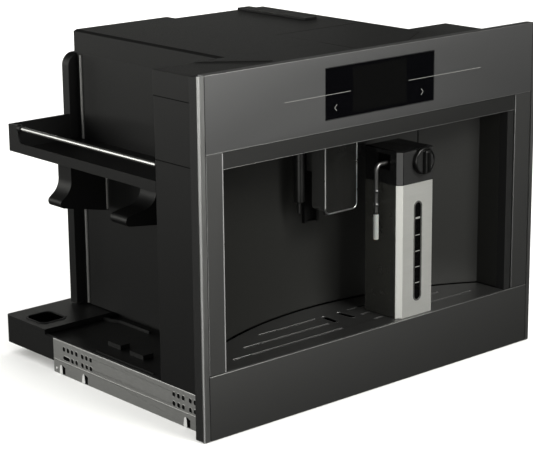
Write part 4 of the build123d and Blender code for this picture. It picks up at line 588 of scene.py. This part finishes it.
piece("trim_shut_lines", shadow, "machine",
      [slab("front", rounded(0.9, 451.0, 0.3, (side * (SHEET_HALF + 0.4), 228.0)), -0.1, 0.3,
            0.08) for side in (-1, 1)])

# ---- display
# A glass plate set flush in the control panel, with a colour screen and touch fields behind it.
# It is float glass, printed black from behind, and bonded in a thin plastic rim. A printed line
# runs out from it over the steel on both sides.

DISPLAY = (0.0, 406.8)
GLASS = (193.0, 66.0, 1.0)  # width, height and corner radius
SCREEN = (95.0, 57.0, 0.6)
LINE_Z = 406.0
LINES = ((-108.5, 110.7), (117.3, 136.4))  # each line's middle and length
LINE_DEPTHS = (-0.1, 0.3)
ARROWS = ((-80.5, 1), (76.5, -1))  # each arrow's middle, and the way that it opens
ARROW_Z = 388.0
# Float glass, black printed: a deep even black with a hard shine.
glass = surface("float glass, black printed", "display_glass", "#040405", (0.05, 0.08), 60, 0.004,
                IOR=1.5)
dress(glass, "display_glass", edge=0)
# The screen behind the glass: a shade lighter than the print, and less hard in its shine.
screen = surface("screen behind glass", "display_glass", "#070707", (0.1, 0.14), 30, 0.002, IOR=1.5)
# Enamel print, baked on: thin pale grey lines.
marks = surface("pale grey enamel print", "display_glass", "#6E6E6B", (0.45, 0.55), 0.8, 0.001)
piece("screen", screen, "machine",
      [slab("front", rounded(*SCREEN, (-1.6, DISPLAY[1])), 0.12, 0.4, 0.06)])
lines = [slab("front", rounded(length, 0.6, 0.25, (middle, LINE_Z)), *LINE_DEPTHS, 0.03)
         for middle, length in LINES]
for middle, way in ARROWS:
    for lean in (45, -45):
        stroke_middle = (middle + 1.71 * way, ARROW_Z + math.copysign(1.9, lean * way))
        lines.append(slab("front", rounded(6.0, 0.8, 0.35, stroke_middle, lean), 0.08, 0.3, 0.03))
piece("panel_marks", marks, "machine", lines)
glass_rim = closed(rounded(*GLASS, DISPLAY, steps=4))
piece("display_rim", moulded, "machine",
      [carried(facing("front", glass_rim, 0.35), 0.5, BACK, steps=8)])

# ---- cup niche
# The niche's roof, side walls and the fixed end of its back wall, with a light strip in the roof.
# The liner is one satin moulding of black ABS, snapped into the frame, and the strip is frosted.

# Black ABS, satin: dark, with broad soft highlights on the curved wall.
liner = surface("black ABS, satin", "liner_plastic", "#161614", (0.46, 0.56), 0.8, 0.008,
                Specular_IOR_Level=0.55)
dress(liner, "niche_liner", edge=0.4)
# Polycarbonate, frosted in the mould: milky white and even.
diffuser = surface("frosted polycarbonate", "light_diffuser", "#D8D8D2", (0.42, 0.58), 0.8, 0.01,
                   Transmission_Weight=0.3)
dress(diffuser, "light_strip", edge=0.3)

# ---- service door
# The niche's curved back wall is a door: it swings on the left for cleaning, and carries the
# spout's guide. It is moulded satin black ABS, and turns on two pins in the liner.

NICHE_X = -8.5
WALL_R = 480.0
WALL_MIDDLE = -353.0
HINGE = (-252.5, 62.857)
DOOR_REACH = 418.0
DOOR_Z = (85.0, 336.0)
DOOR_WALL = 5.0
GUIDE_X = (-21.5, 4.5)
GUIDE_Z = (205.0, 335.0)
BARREL = [(0.0, 79.0), (1.7, 79.0), (2.0, 79.4), (2.0, 85.0), (4.1, 85.0), (4.5, 85.5),
          (4.5, 160.0), (4.2, 160.3), (4.2, 161.0), (4.5, 161.3), (4.5, 335.5), (4.1, 336.0),
          (2.0, 336.0), (2.0, 339.6), (1.7, 340.0), (0.0, 340.0)]


def open_sheet(name, material, body, grid, keep, thickness, stands_for):
    """A one-sided skin on a grid of places, without the squares that keep leaves out, thickened
    behind its face."""
    columns = grid.shape[1]
    i, j = np.nonzero(keep)
    squares = np.stack([i * columns + j, (i + 1) * columns + j, (i + 1) * columns + j + 1,
                        i * columns + j + 1], 1)
    used, faces = np.unique(squares, return_inverse=True)
    mesh = mesh_of(name, grid.reshape(-1, 3)[used], faces.reshape(-1, 4))
    made = fitted(name, mesh, material, body, stands_for)
    wall = made.modifiers.new("wall", "SOLIDIFY")
    wall.thickness = thickness * MM
    wall.offset = -1.0
    soften(made, 0.8)


# The door's face is an arc about the niche's middle. It ends on the right where its distance
# from the hinge is the door's reach.
angle = np.linspace(-0.6, 0.6, 4001)
reach = np.hypot(NICHE_X + WALL_R * np.sin(angle) - HINGE[0],
                 WALL_MIDDLE + WALL_R * np.cos(angle) - HINGE[1])
last = angle[angle > 0][np.searchsorted(reach[angle > 0], DOOR_REACH)]
first = math.asin((HINGE[0] - 1.5 - NICHE_X) / WALL_R)
guide_angles = np.arcsin((np.array(GUIDE_X) - NICHE_X) / WALL_R)
sweep = np.unique(np.concatenate([np.linspace(first, last, 70), guide_angles]))
rise = np.unique(np.concatenate([np.linspace(*DOOR_Z, 12), GUIDE_Z]))
door_face = points(NICHE_X + WALL_R * np.sin(sweep)[:, None],
                   WALL_MIDDLE + WALL_R * np.cos(sweep)[:, None], rise[None])
mid_x = NICHE_X + WALL_R * np.sin((sweep[1:] + sweep[:-1]) / 2)[:, None]
mid_z = (rise[1:] + rise[:-1])[None] / 2
in_guide = ((mid_x > GUIDE_X[0]) & (mid_x < GUIDE_X[1])
            & (mid_z > GUIDE_Z[0]) & (mid_z < GUIDE_Z[1]))
open_sheet("door_skin", liner, "service_door", door_face, ~in_guide, DOOR_WALL, ["service_door"])
piece("door_hinge_barrel", liner, "service_door", [turned(BARREL, (*HINGE, 0), UP, 24)])
dress(moulded, "spout_guide", edge=0.3)

# ---- steam nozzle and water outlet
# The ribbed nozzle seals against the carafe's lid. It is silicone, moulded over a tube in the
# door. The hot water outlet is a turned brass tube, chromed black, held by an arm from the door.

NOZZLE = (49.0, 0, 300.0)
RIB_COUNT = 5
RIB_R = (7.2, 1.7)  # the ribs' middle radius, and how far they rise and fall from it
RIB_RUN = (77.3, 126.5)
# Silicone, moulded matt: soft black ribs with dull edges.
soft_black = surface("black silicone, matt", "soft_black", "#121212", (0.5, 0.66), 0.8, 0.02)
part = np.linspace(0, 1, 90)
ribs = RIB_R[0] + RIB_R[1] * np.clip(np.cos(2 * np.pi * RIB_COUNT * part) * 1.6, -1, 1)
rib_depths = RIB_RUN[0] + (RIB_RUN[1] - RIB_RUN[0]) * part
nozzle = [(0.0, 69.3), (3.4, 69.3), (4.0, 70.0), (4.0, 76.6), (6.4, 77.1), *zip(ribs, rib_depths),
          (0.0, 126.6)]
piece("nozzle_bellows", soft_black, "service_door", [turned(nozzle, NOZZLE, BACK, 36)],
      ["steam_nozzle"])

OUTLET = (-50.5, 100.0)
OUTLET_PROFILE = [(0.0, 228.0), (1.6, 228.0), (2.5, 229.0), (2.5, 242.5), (5.2, 243.4),
                  (6.9, 244.2), (7.4, 245.4), (7.4, 300.0), (7.0, 300.4), (7.0, 301.6),
                  (7.4, 302.0), (7.4, 335.5), (7.0, 336.0), (0.0, 336.0)]
ARM = (10.0, 16.0, 2.5)  # the arm's width, height and corner radius
# Black chrome on brass: a dark satin column with one soft bright side.
black_chrome = surface("black chromed brass", "chrome", "#585858", (0.3, 0.38), 14, 0.004,
                       Metallic=1.0)
arm = slab("front", rounded(*ARM, (OUTLET[0], 326.0)), OUTLET[1], 123.5, 0.6)
piece("water_outlet", black_chrome, "service_door",
      [turned(OUTLET_PROFILE, (*OUTLET, 0), UP), arm], ["hot_water_outlet"])

# ---- coffee spout
# The spout slides up and down its guide to suit the cup. Its body is moulded ABS, its smoked
# front plate is PMMA, and the frame clipped round the plate's sides and foot is chromed zinc.

# Black ABS, satin: the spout's side turns grey toward the light.
satin_black = surface("black ABS, satin spout", "gloss_black", "#2E2E2D", (0.3, 0.38), 0.8, 0.006)
dress(satin_black, "spout_body", edge=0.8)
# Chromed zinc: the brightest line in the niche, softened by a faint wave in the plating.
chrome = surface("chrome plated zinc", "chrome", "#F2F2F2", (0.26, 0.34), 14, 0.004, Metallic=1.0)
# PMMA, smoked and polished: dark, with blurred upright reflections.
smoked = surface("smoked PMMA plate", "gloss_black", "#151514", (0.16, 0.28), 14, 0.01, IOR=1.49)

SPOUT_X = (-38.0, 21.0)
SPOUT_Z = (229.5, 335.0)
FRAME_R = 1.1
FRAME_DEPTH = 65.0
BEND_R = 8.1
PLATE = (54.8, 103.1, 6.8)  # width, height and corner radius
NIPPLES_X = (-23.0, 6.0)
# A nipple's wall, as radius and height: a ring, so its last point is its first.
NIPPLE = [(2.0, -3.6), (3.2, -3.6), (3.7, -3.0), (3.7, 1.0), (2.0, 1.0), (2.0, -3.6)]

frame_left, frame_right = SPOUT_X[0] + FRAME_R, SPOUT_X[1] - FRAME_R
frame_foot = SPOUT_Z[0] + FRAME_R
upright_z = np.linspace(frame_foot + BEND_R + 1, SPOUT_Z[1] - 0.2, 20)
bend = np.linspace(0, np.pi / 2, 10)
bend_in, bend_up = BEND_R * (1 - np.cos(bend)), BEND_R * (1 - np.sin(bend))
frame_path = np.concatenate([
    points(frame_left, FRAME_DEPTH, upright_z[::-1]),
    points(frame_left + bend_in, FRAME_DEPTH, frame_foot + bend_up),
    points(np.linspace(frame_left + BEND_R + 1, frame_right - BEND_R - 1, 12), FRAME_DEPTH,
           frame_foot),
    points(frame_right - bend_in[::-1], FRAME_DEPTH, frame_foot + bend_up[::-1]),
    points(frame_right, FRAME_DEPTH, upright_z)])
piece("spout_rim", chrome, "coffee_spout",
      [carried(frame_path, FRAME_R, BACK, flat=0.92, steps=12)], ["spout_frame"])
# Painted highlight: a pale line along the rim's left side, where the key light falls.
lit_side = points(frame_left - 0.3, FRAME_DEPTH - 0.8,
                  np.linspace(frame_foot + BEND_R, SPOUT_Z[1] - 0.4, 20))
piece("spout_rim_light", key_light_highlight, "coffee_spout", [carried(lit_side, 0.8, BACK)])
plate = rounded(*PLATE, (sum(SPOUT_X) / 2, sum(SPOUT_Z) / 2 + FRAME_R), steps=10)
piece("spout_plate", smoked, "coffee_spout", [slab("front", plate, 64.3, 66.0, 0.5, 5)],
      ["spout_front_plate"])
piece("spout_nipples", soft_black, "coffee_spout",
      [turned(NIPPLE, (x, 78.0, SPOUT_Z[0]), UP, 24) for x in NIPPLES_X])

# ---- milk carafe
# A jug with a brushed steel front, bent round its cut left corner, on a smoked clear body. The
# steel is 1.5 mm stainless, ground with level lines, and bonded to the jug. A level window is
# moulded through it.

WINDOW = (74.5, 172.7)
SEAL = (13.4, 135.4, 6.69)  # width, height and corner radius of the line that it follows
WINDOW_FACE = 5.0
# The corner's two ends, as across and depth, a quarter millimetre out from the solid's.
CORNER = np.array([(40.2, 11.5), (46.5, 5.2)]) - 0.25
CORNER_Z = (85.0, 265.4)
# Each level mark's place above the feet, its own height and its corner radius.
LEVELS = [*[(z, 1.1, 0.4) for z in (129.2, 151.0, 172.8, 194.8)], (218.2, 2.6, 0.5)]
# Smoked SAN, polished in the mould: deep grey, since the jug's far wall stands close behind.
smoked_jug = surface("smoked SAN jug", "clear_smoke", "#2C2C29", (0.18, 0.3), 20, 0.01,
                     Transmission_Weight=0.25, IOR=1.57)
dress(smoked_jug, "carafe_body", edge=0.5)
# Stainless steel, ground across: pale with level lines, drawn coarser than real so they show.
carafe_steel = surface("stainless, ground across", "carafe_steel", ("#DCDCD8", "#ECECE8"),
                       (0.38, 0.46), 0.9, 0.003, (50, 50, 1), Metallic=0.85)
dress(carafe_steel, "carafe_steel_front", edge=0.5)
# The same steel at the cut corner, in a less metallic copy tuned brighter: a painted highlight, as
# it is the brightest part of the jug.
lit_corner_steel = surface("stainless corner, ground across, painted lit", "carafe_steel", "#D2D2CE", (0.38, 0.46),
                       0.9, 0.003, (50, 50, 1), Metallic=0.6)
corner_plan = np.concatenate([CORNER, CORNER[::-1] + 0.5])
piece("carafe_corner", lit_corner_steel, "milk_carafe", [slab("up", corner_plan, *CORNER_Z, 0.1)])
# Clear SAN over the dark milk side: it looks black from outside, with a hard shine.
window = surface("clear SAN over dark milk side", "window_clear", "#050505", (0.07, 0.14), 20,
                 0.006, IOR=1.57)
dress(window, "carafe_window", edge=0)
# Moulded rubber: a dull grey line round the window.
rubber = surface("grey window seal", "soft_black", "#3A3A38", (0.42, 0.58), 0.8, 0.01)
seal_path = closed(rounded(*SEAL, WINDOW, steps=12))
piece("window_seal", rubber, "milk_carafe",
      [carried(facing("front", seal_path, WINDOW_FACE), 1.15, BACK, 0.5, 10)])
# Pad print: pale grey level marks.
tick_print = surface("pale print on the window", "window_clear", "#6A6A67", (0.4, 0.5), 0.8, 0.002)
piece("level_marks", tick_print, "milk_carafe",
      [slab("front", rounded(8.6, height, radius, (WINDOW[0], z)), WINDOW_FACE - 0.1,
            WINDOW_FACE + 0.6, 0.2) for z, height, radius in LEVELS])

# ---- carafe lid
# The lid holds the frothing valve, its knob and the milk tube, and seals on the jug with a rim.
# It is half gloss black ABS above, with a satin dark front and a cut corner like the jug's.

LID_Z = (266.6, 311.0)
FACET = np.array([(40.0, 11.6), (46.6, 5.0)])  # the cut corner's ends, as across and depth
FACET_LENGTH = 9.3
FACET_OUT = np.array([-0.707, -0.707])
# Black ABS, half gloss: blurred highlights on the lid's top.
lid_black = surface("black ABS, half gloss", "gloss_black", "#0E0E0E", (0.16, 0.26), 14, 0.01)
dress(lid_black, "carafe_lid", edge=0.6)
# Dark grey ABS, satin: a soft grey front under the black top.
satin = surface("dark grey ABS, satin", "gloss_black", "#1E1E1E", (0.34, 0.46), 0.8, 0.008)
lid_front = rounded(54.0, LID_Z[1] - LID_Z[0] - 1.0, 0.6, (74.3, sum(LID_Z) / 2 - 0.5))
piece("lid_front", satin, "carafe_lid", [slab("front", lid_front, 4.6, 5.4, 0.35)])
# Grey ABS, painted lighter on the cut corner than on the front: a painted highlight for the light
# that it catches.
lighter = surface("grey ABS, corner painted lit", "gloss_black", "#343434", (0.36, 0.48), 0.8, 0.008)
ends_in = 0.4 * (FACET[1] - FACET[0]) / FACET_LENGTH
facet = np.stack([FACET[0] + ends_in, FACET[1] - ends_in])
facet_plan = np.concatenate([facet + 0.35 * FACET_OUT, facet[::-1] - 0.3 * FACET_OUT])
piece("lid_corner", lighter, "carafe_lid",
      [slab("up", facet_plan, LID_Z[0] + 0.3, LID_Z[1] - 0.8, 0.15)])
# Painted shade: a black plate at the foot of the lid's recess, where it lies in shade.
recess = rounded(23.6, 20.2, 2.0, (34.8, 295.2))
piece("lid_recess_shade", shadow, "carafe_lid", [slab("side", recess, 42.6, 43.2, 0.1)])
# The intake pipe hangs from the lid into the jug. It is black silicone, as the nozzle is.
dress(soft_black, "intake_pipe", edge=0)

# ---- froth knob
# The knob sets how much air the milk takes. It is a turned aluminium cap with a rim round a
# sunk black face and a milled grip across it, pressed on the valve's spindle in the lid.

KNOB = (80.5, 0, 295.0)
CAP = [(0.0, -1.4), (15.2, -1.4), (15.8, -2.4), (17.1, -2.4), (18.0, -1.5), (18.0, 4.0),
       (17.5, 4.5), (3.0, 4.5), (3.0, 12.0), (0.0, 12.0)]
DISH = [(0.0, -1.5), (14.4, -1.5), (14.9, -1.7), (15.1, -1.3), (0.0, -1.3)]
KNOB_FRONT = -8.0
# Aluminium, turned: dark grey beside the jug's steel, with a crisp lit rim.
turned_aluminium = surface("aluminium, turned", "knob_steel", "#545454", (0.32, 0.4), 0.5, 0.01,
                           Metallic=1.0)
grip = rounded(9.6, 30.0, 2.2, (KNOB[0], KNOB[2]), steps=8)
piece("knob_cap", turned_aluminium, "froth_knob",
      [turned(CAP, KNOB, BACK, 72), slab("front", grip, -7.9, -1.0, 1.2, 6)],
      ["froth_knob"])
# Painted shade: a black strip down the grip's face stands for the shade in its groove.
knob_line = rounded(1.8, 26.0, 0.85, (KNOB[0], KNOB[2]))
piece("knob_line", gloss, "froth_knob",
      [slab("front", knob_line, KNOB_FRONT, KNOB_FRONT + 1.0, 0.1)])
# Black anodised aluminium: the knob's sunk face, dark round the grip.
dark_disc = surface("black anodised dish", "gloss_black", "#1C1C1C", (0.3, 0.4), 0.5, 0.01)
piece("knob_dish", dark_disc, "froth_knob", [turned(DISH, KNOB, BACK, 60)])

# ---- milk tube and tip
# The tube leads froth to the cup. It turns in the lid, and its silicone tip slides down to meet
# a low cup. It is a drawn stainless tube with two rolled collars, and a pale grey moulded tip.

TUBE = (21.5, 30.0)
TUBE_TURN_R = 8.0
TUBE_LEVEL = 294.0  # the height of the run that enters the lid
TUBE_R, NARROW_R = 3.0, 2.5
NARROW_FROM = 229.0  # below this height, the narrow end runs inside the tip
COLLARS_Z = (259.0, 241.0)
TIP = [(2.8, 193.9), (3.3, 193.9), (3.65, 194.4), (3.65, 226.6), (3.3, 227.6), (2.8, 227.8),
       (2.8, 193.9)]
# Stainless tube, drawn and dark chromed: a grey mirror, lit along its left side.
dark_chrome = surface("dark chromed tube", "chrome", "#858585", (0.34, 0.42), 0.8, 0.003,
                      (1, 1, 30), Metallic=1.0)
elbow = np.linspace(0, np.pi / 2, 14)
elbow_foot = TUBE_LEVEL - TUBE_TURN_R
tube_path = np.concatenate([
    points(np.linspace(48.5, 30.5, 12), TUBE[1], TUBE_LEVEL),
    points(TUBE[0] + TUBE_TURN_R * (1 - np.sin(elbow)), TUBE[1],
           elbow_foot + TUBE_TURN_R * np.cos(elbow)),
    points(TUBE[0], TUBE[1], np.linspace(elbow_foot - 1.0, 197.0, 90))])
tube_z = tube_path[:, 2]
tube_r = np.where(tube_z > NARROW_FROM, TUBE_R, NARROW_R)
for height in COLLARS_Z:
    tube_r = tube_r + 0.8 * np.exp(-((tube_z - height) / 1.1) ** 4) * (tube_z < elbow_foot - 0.5)
piece("milk_tube_drawn", dark_chrome, "milk_tube",
      [carried(tube_path, tube_r, BACK, steps=20)], ["milk_tube"])
# Silicone, moulded matt: pale and soft in the light, without a highlight.
soft_grey = surface("pale silicone, matt", "soft_grey", "#7E7E7B", (0.44, 0.56), 0.8, 0.01,
                    Subsurface_Weight=0.1)
piece("tube_tip", soft_grey, "milk_tip", [turned(TIP, (*TUBE, 0), UP, 32)], ["milk_tip"])

# ---- drip tray
# The tray slides out with the fascia's lower panel: a black moulded basin under a slotted steel
# cover, with the grounds container on a tongue behind it. Cover and panel are dark stainless
# steel, laser cut. The cover lifts off the basin.

dress(moulded, "drip_basin", "tray_tongue", "grounds_container", edge=0.6)
dress(surround, "lower_panel", edge=0)
# Dark stainless, satin: dark, with faint lines across.
cover = surface("dark stainless tray cover, satin", "cover_steel", ("#848484", "#909090"),
                (0.4, 0.48), 0.9, 0.006, (40, 1, 1), Metallic=1.0)
dress(cover, "tray_cover", edge=0.5)
piece("drawer_lip", fold_highlight, "drip_tray", beads([(across, 0.5, TRAY_TOP - 0.7, 0.7)]))

SLOT_START = 29.0
SLOT_WIDTH = 3.0
RIM_WIDTH = 3.8
# Each row's depth, how far its slot is cut to the left, and how far it reaches on both sides.
# From its cut end on, a slot is painted: a black strip of painted shade, with a painted highlight
# along its far edge.
SLOT_ROWS = ((31.0, 189.0, 217.0), (57.0, 150.0, 178.0), (83.0, 100.0, 129.0))
DRAINS = ((-16.0, -4.0), (13.0, 4.0))  # each middle drain's place across, and its lean
DRAIN_DEPTH = 69.5
DRAIN_RIM = (31.8, 8.8, 4.39)
rims, slot_ends, far_edges = [], [], []
for depth, cut_end, slot_end in SLOT_ROWS:
    for start, stop in ((-slot_end, -SLOT_START), (SLOT_START, slot_end)):
        rims.append(rounded(stop - start + 0.8, RIM_WIDTH, 1.89,
                            (NICHE_X + (start + stop) / 2, depth)))
    end_middle = (NICHE_X + 1.5 - (slot_end + cut_end) / 2, depth)
    end_plan = rounded(slot_end - cut_end + 3.0, SLOT_WIDTH, 1.49, end_middle)
    slot_ends.append(slab("up", end_plan, TRAY_TOP - 0.3, TRAY_TOP + 0.05, 0.05))
    far_x = NICHE_X - np.linspace(slot_end - 0.8, cut_end - 1.0, 10)
    far_edges.append((far_x, depth + 1.35, TRAY_TOP, 0.42))
for drain_x, lean in DRAINS:
    rims.append(rounded(*DRAIN_RIM, (NICHE_X + drain_x, DRAIN_DEPTH), 90 + lean))
piece("drain_slot_ends", shadow, "drip_tray", slot_ends)
piece("drain_far_edges", key_light_highlight, "drip_tray", beads(far_edges))
piece("drain_rims", fold_highlight, "drip_tray",
      [carried(facing("up", closed(rim), TRAY_TOP - 0.05), 0.3, flat=0.5, steps=8)
       for rim in rims])

# ---- floor, light and camera
# A floor of matt white paper under soft studio light, seen from the photograph's angle. Large
# soft lights stand on all sides, the strongest ones on the left and high in front.

FLOOR_HALF = 30.0
floor_mesh = bpy.data.meshes.new("floor")
floor_mesh.from_pydata([(x * FLOOR_HALF, y * FLOOR_HALF, 0)
                        for x, y in ((-1, -1), (1, -1), (1, 1), (-1, 1))], [], [(0, 1, 2, 3)])
floor = bpy.data.objects.new("floor", floor_mesh)
scene.collection.objects.link(floor)
# Matt paper: white and even, with no shine.
paper = surface("white paper floor", "housing_plastic", ("#F2F2F0", "#F6F6F4"), 0.9, 200, 0.0)
floor_mesh.materials.append(paper)
floor.visible_glossy = False

world = bpy.data.worlds.new("studio")
scene.world = world
world.use_nodes = True
sky = world.node_tree.nodes["Background"].inputs
sky["Color"].default_value = (1, 1, 1, 1)
sky["Strength"].default_value = 1.25
world.cycles_visibility.glossy = False

# Soft area lights, hidden from the camera: place, target and size in metres, power in watts.
LIGHTS = (("left key", (-2.6, 1.6, 0.9), (0, 0, 0.25), (2.0, 1.6), 48),
          ("front right", (0.5, -2.8, 0.85), (-0.1, -0.2, 0.35), (0.9, 1.2), 18),
          ("front left", (-2.3, -2.1, 0.35), (0, -0.2, 0.25), (1.0, 0.6), 11),
          ("rear right", (2.2, 2.6, 0.95), (0, 0.2, 0.4), (2.0, 1.2), 1.6),
          ("low rear", (1.9, 2.9, 0.45), (-0.2, 0.2, 0.05), (1.4, 0.5), 5),
          ("right fill", (3.0, 0.5, 0.5), (0, 0, 0.2), (1.6, 1.0), 16),
          ("back fill", (-0.5, 3.2, 0.5), (0, 0, 0.2), (1.6, 0.9), 14),
          ("front high", (0.2, -2.3, 1.9), (-0.1, -0.2, 0.3), (1.0, 1.0), 56))
for name, stand, target, size, power in LIGHTS:
    lamp = bpy.data.lights.new(name, "AREA")
    lamp.shape = "RECTANGLE"
    lamp.size, lamp.size_y = size
    lamp.energy = power
    lamp.color = (1.0, 1.0, 0.95)
    softbox = bpy.data.objects.new(name, lamp)
    softbox.location = stand
    aim = Vector(target) - Vector(stand)
    softbox.rotation_euler = aim.to_track_quat("-Z", "Y").to_euler()
    softbox.visible_camera = False
    scene.collection.objects.link(softbox)

# The camera is fitted to points read from the photograph: its lens, place and three angles.
CAMERA_PLACE = (-1.6356, -1.8820, 0.8452)
yaw, pitch, roll = math.radians(41.04), math.radians(14.95), math.radians(-0.58)
camera_data = bpy.data.cameras.new("photo camera")
camera_data.sensor_width = 36.0
camera_data.lens = 125.69
camera_data.clip_end = 100
camera = bpy.data.objects.new("photo camera", camera_data)
forward = Vector((math.sin(yaw) * math.cos(pitch), math.cos(yaw) * math.cos(pitch),
                  -math.sin(pitch)))
level = Vector((math.cos(yaw), -math.sin(yaw), 0))
plumb = level.cross(forward)
right = math.cos(roll) * level + math.sin(roll) * plumb
up = -math.sin(roll) * level + math.cos(roll) * plumb
turn = Matrix((right, up, -forward)).transposed().to_4x4()
camera.matrix_world = Matrix.Translation(CAMERA_PLACE) @ turn
scene.collection.objects.link(camera)
scene.camera = camera
scene.view_settings.view_transform = "Standard"
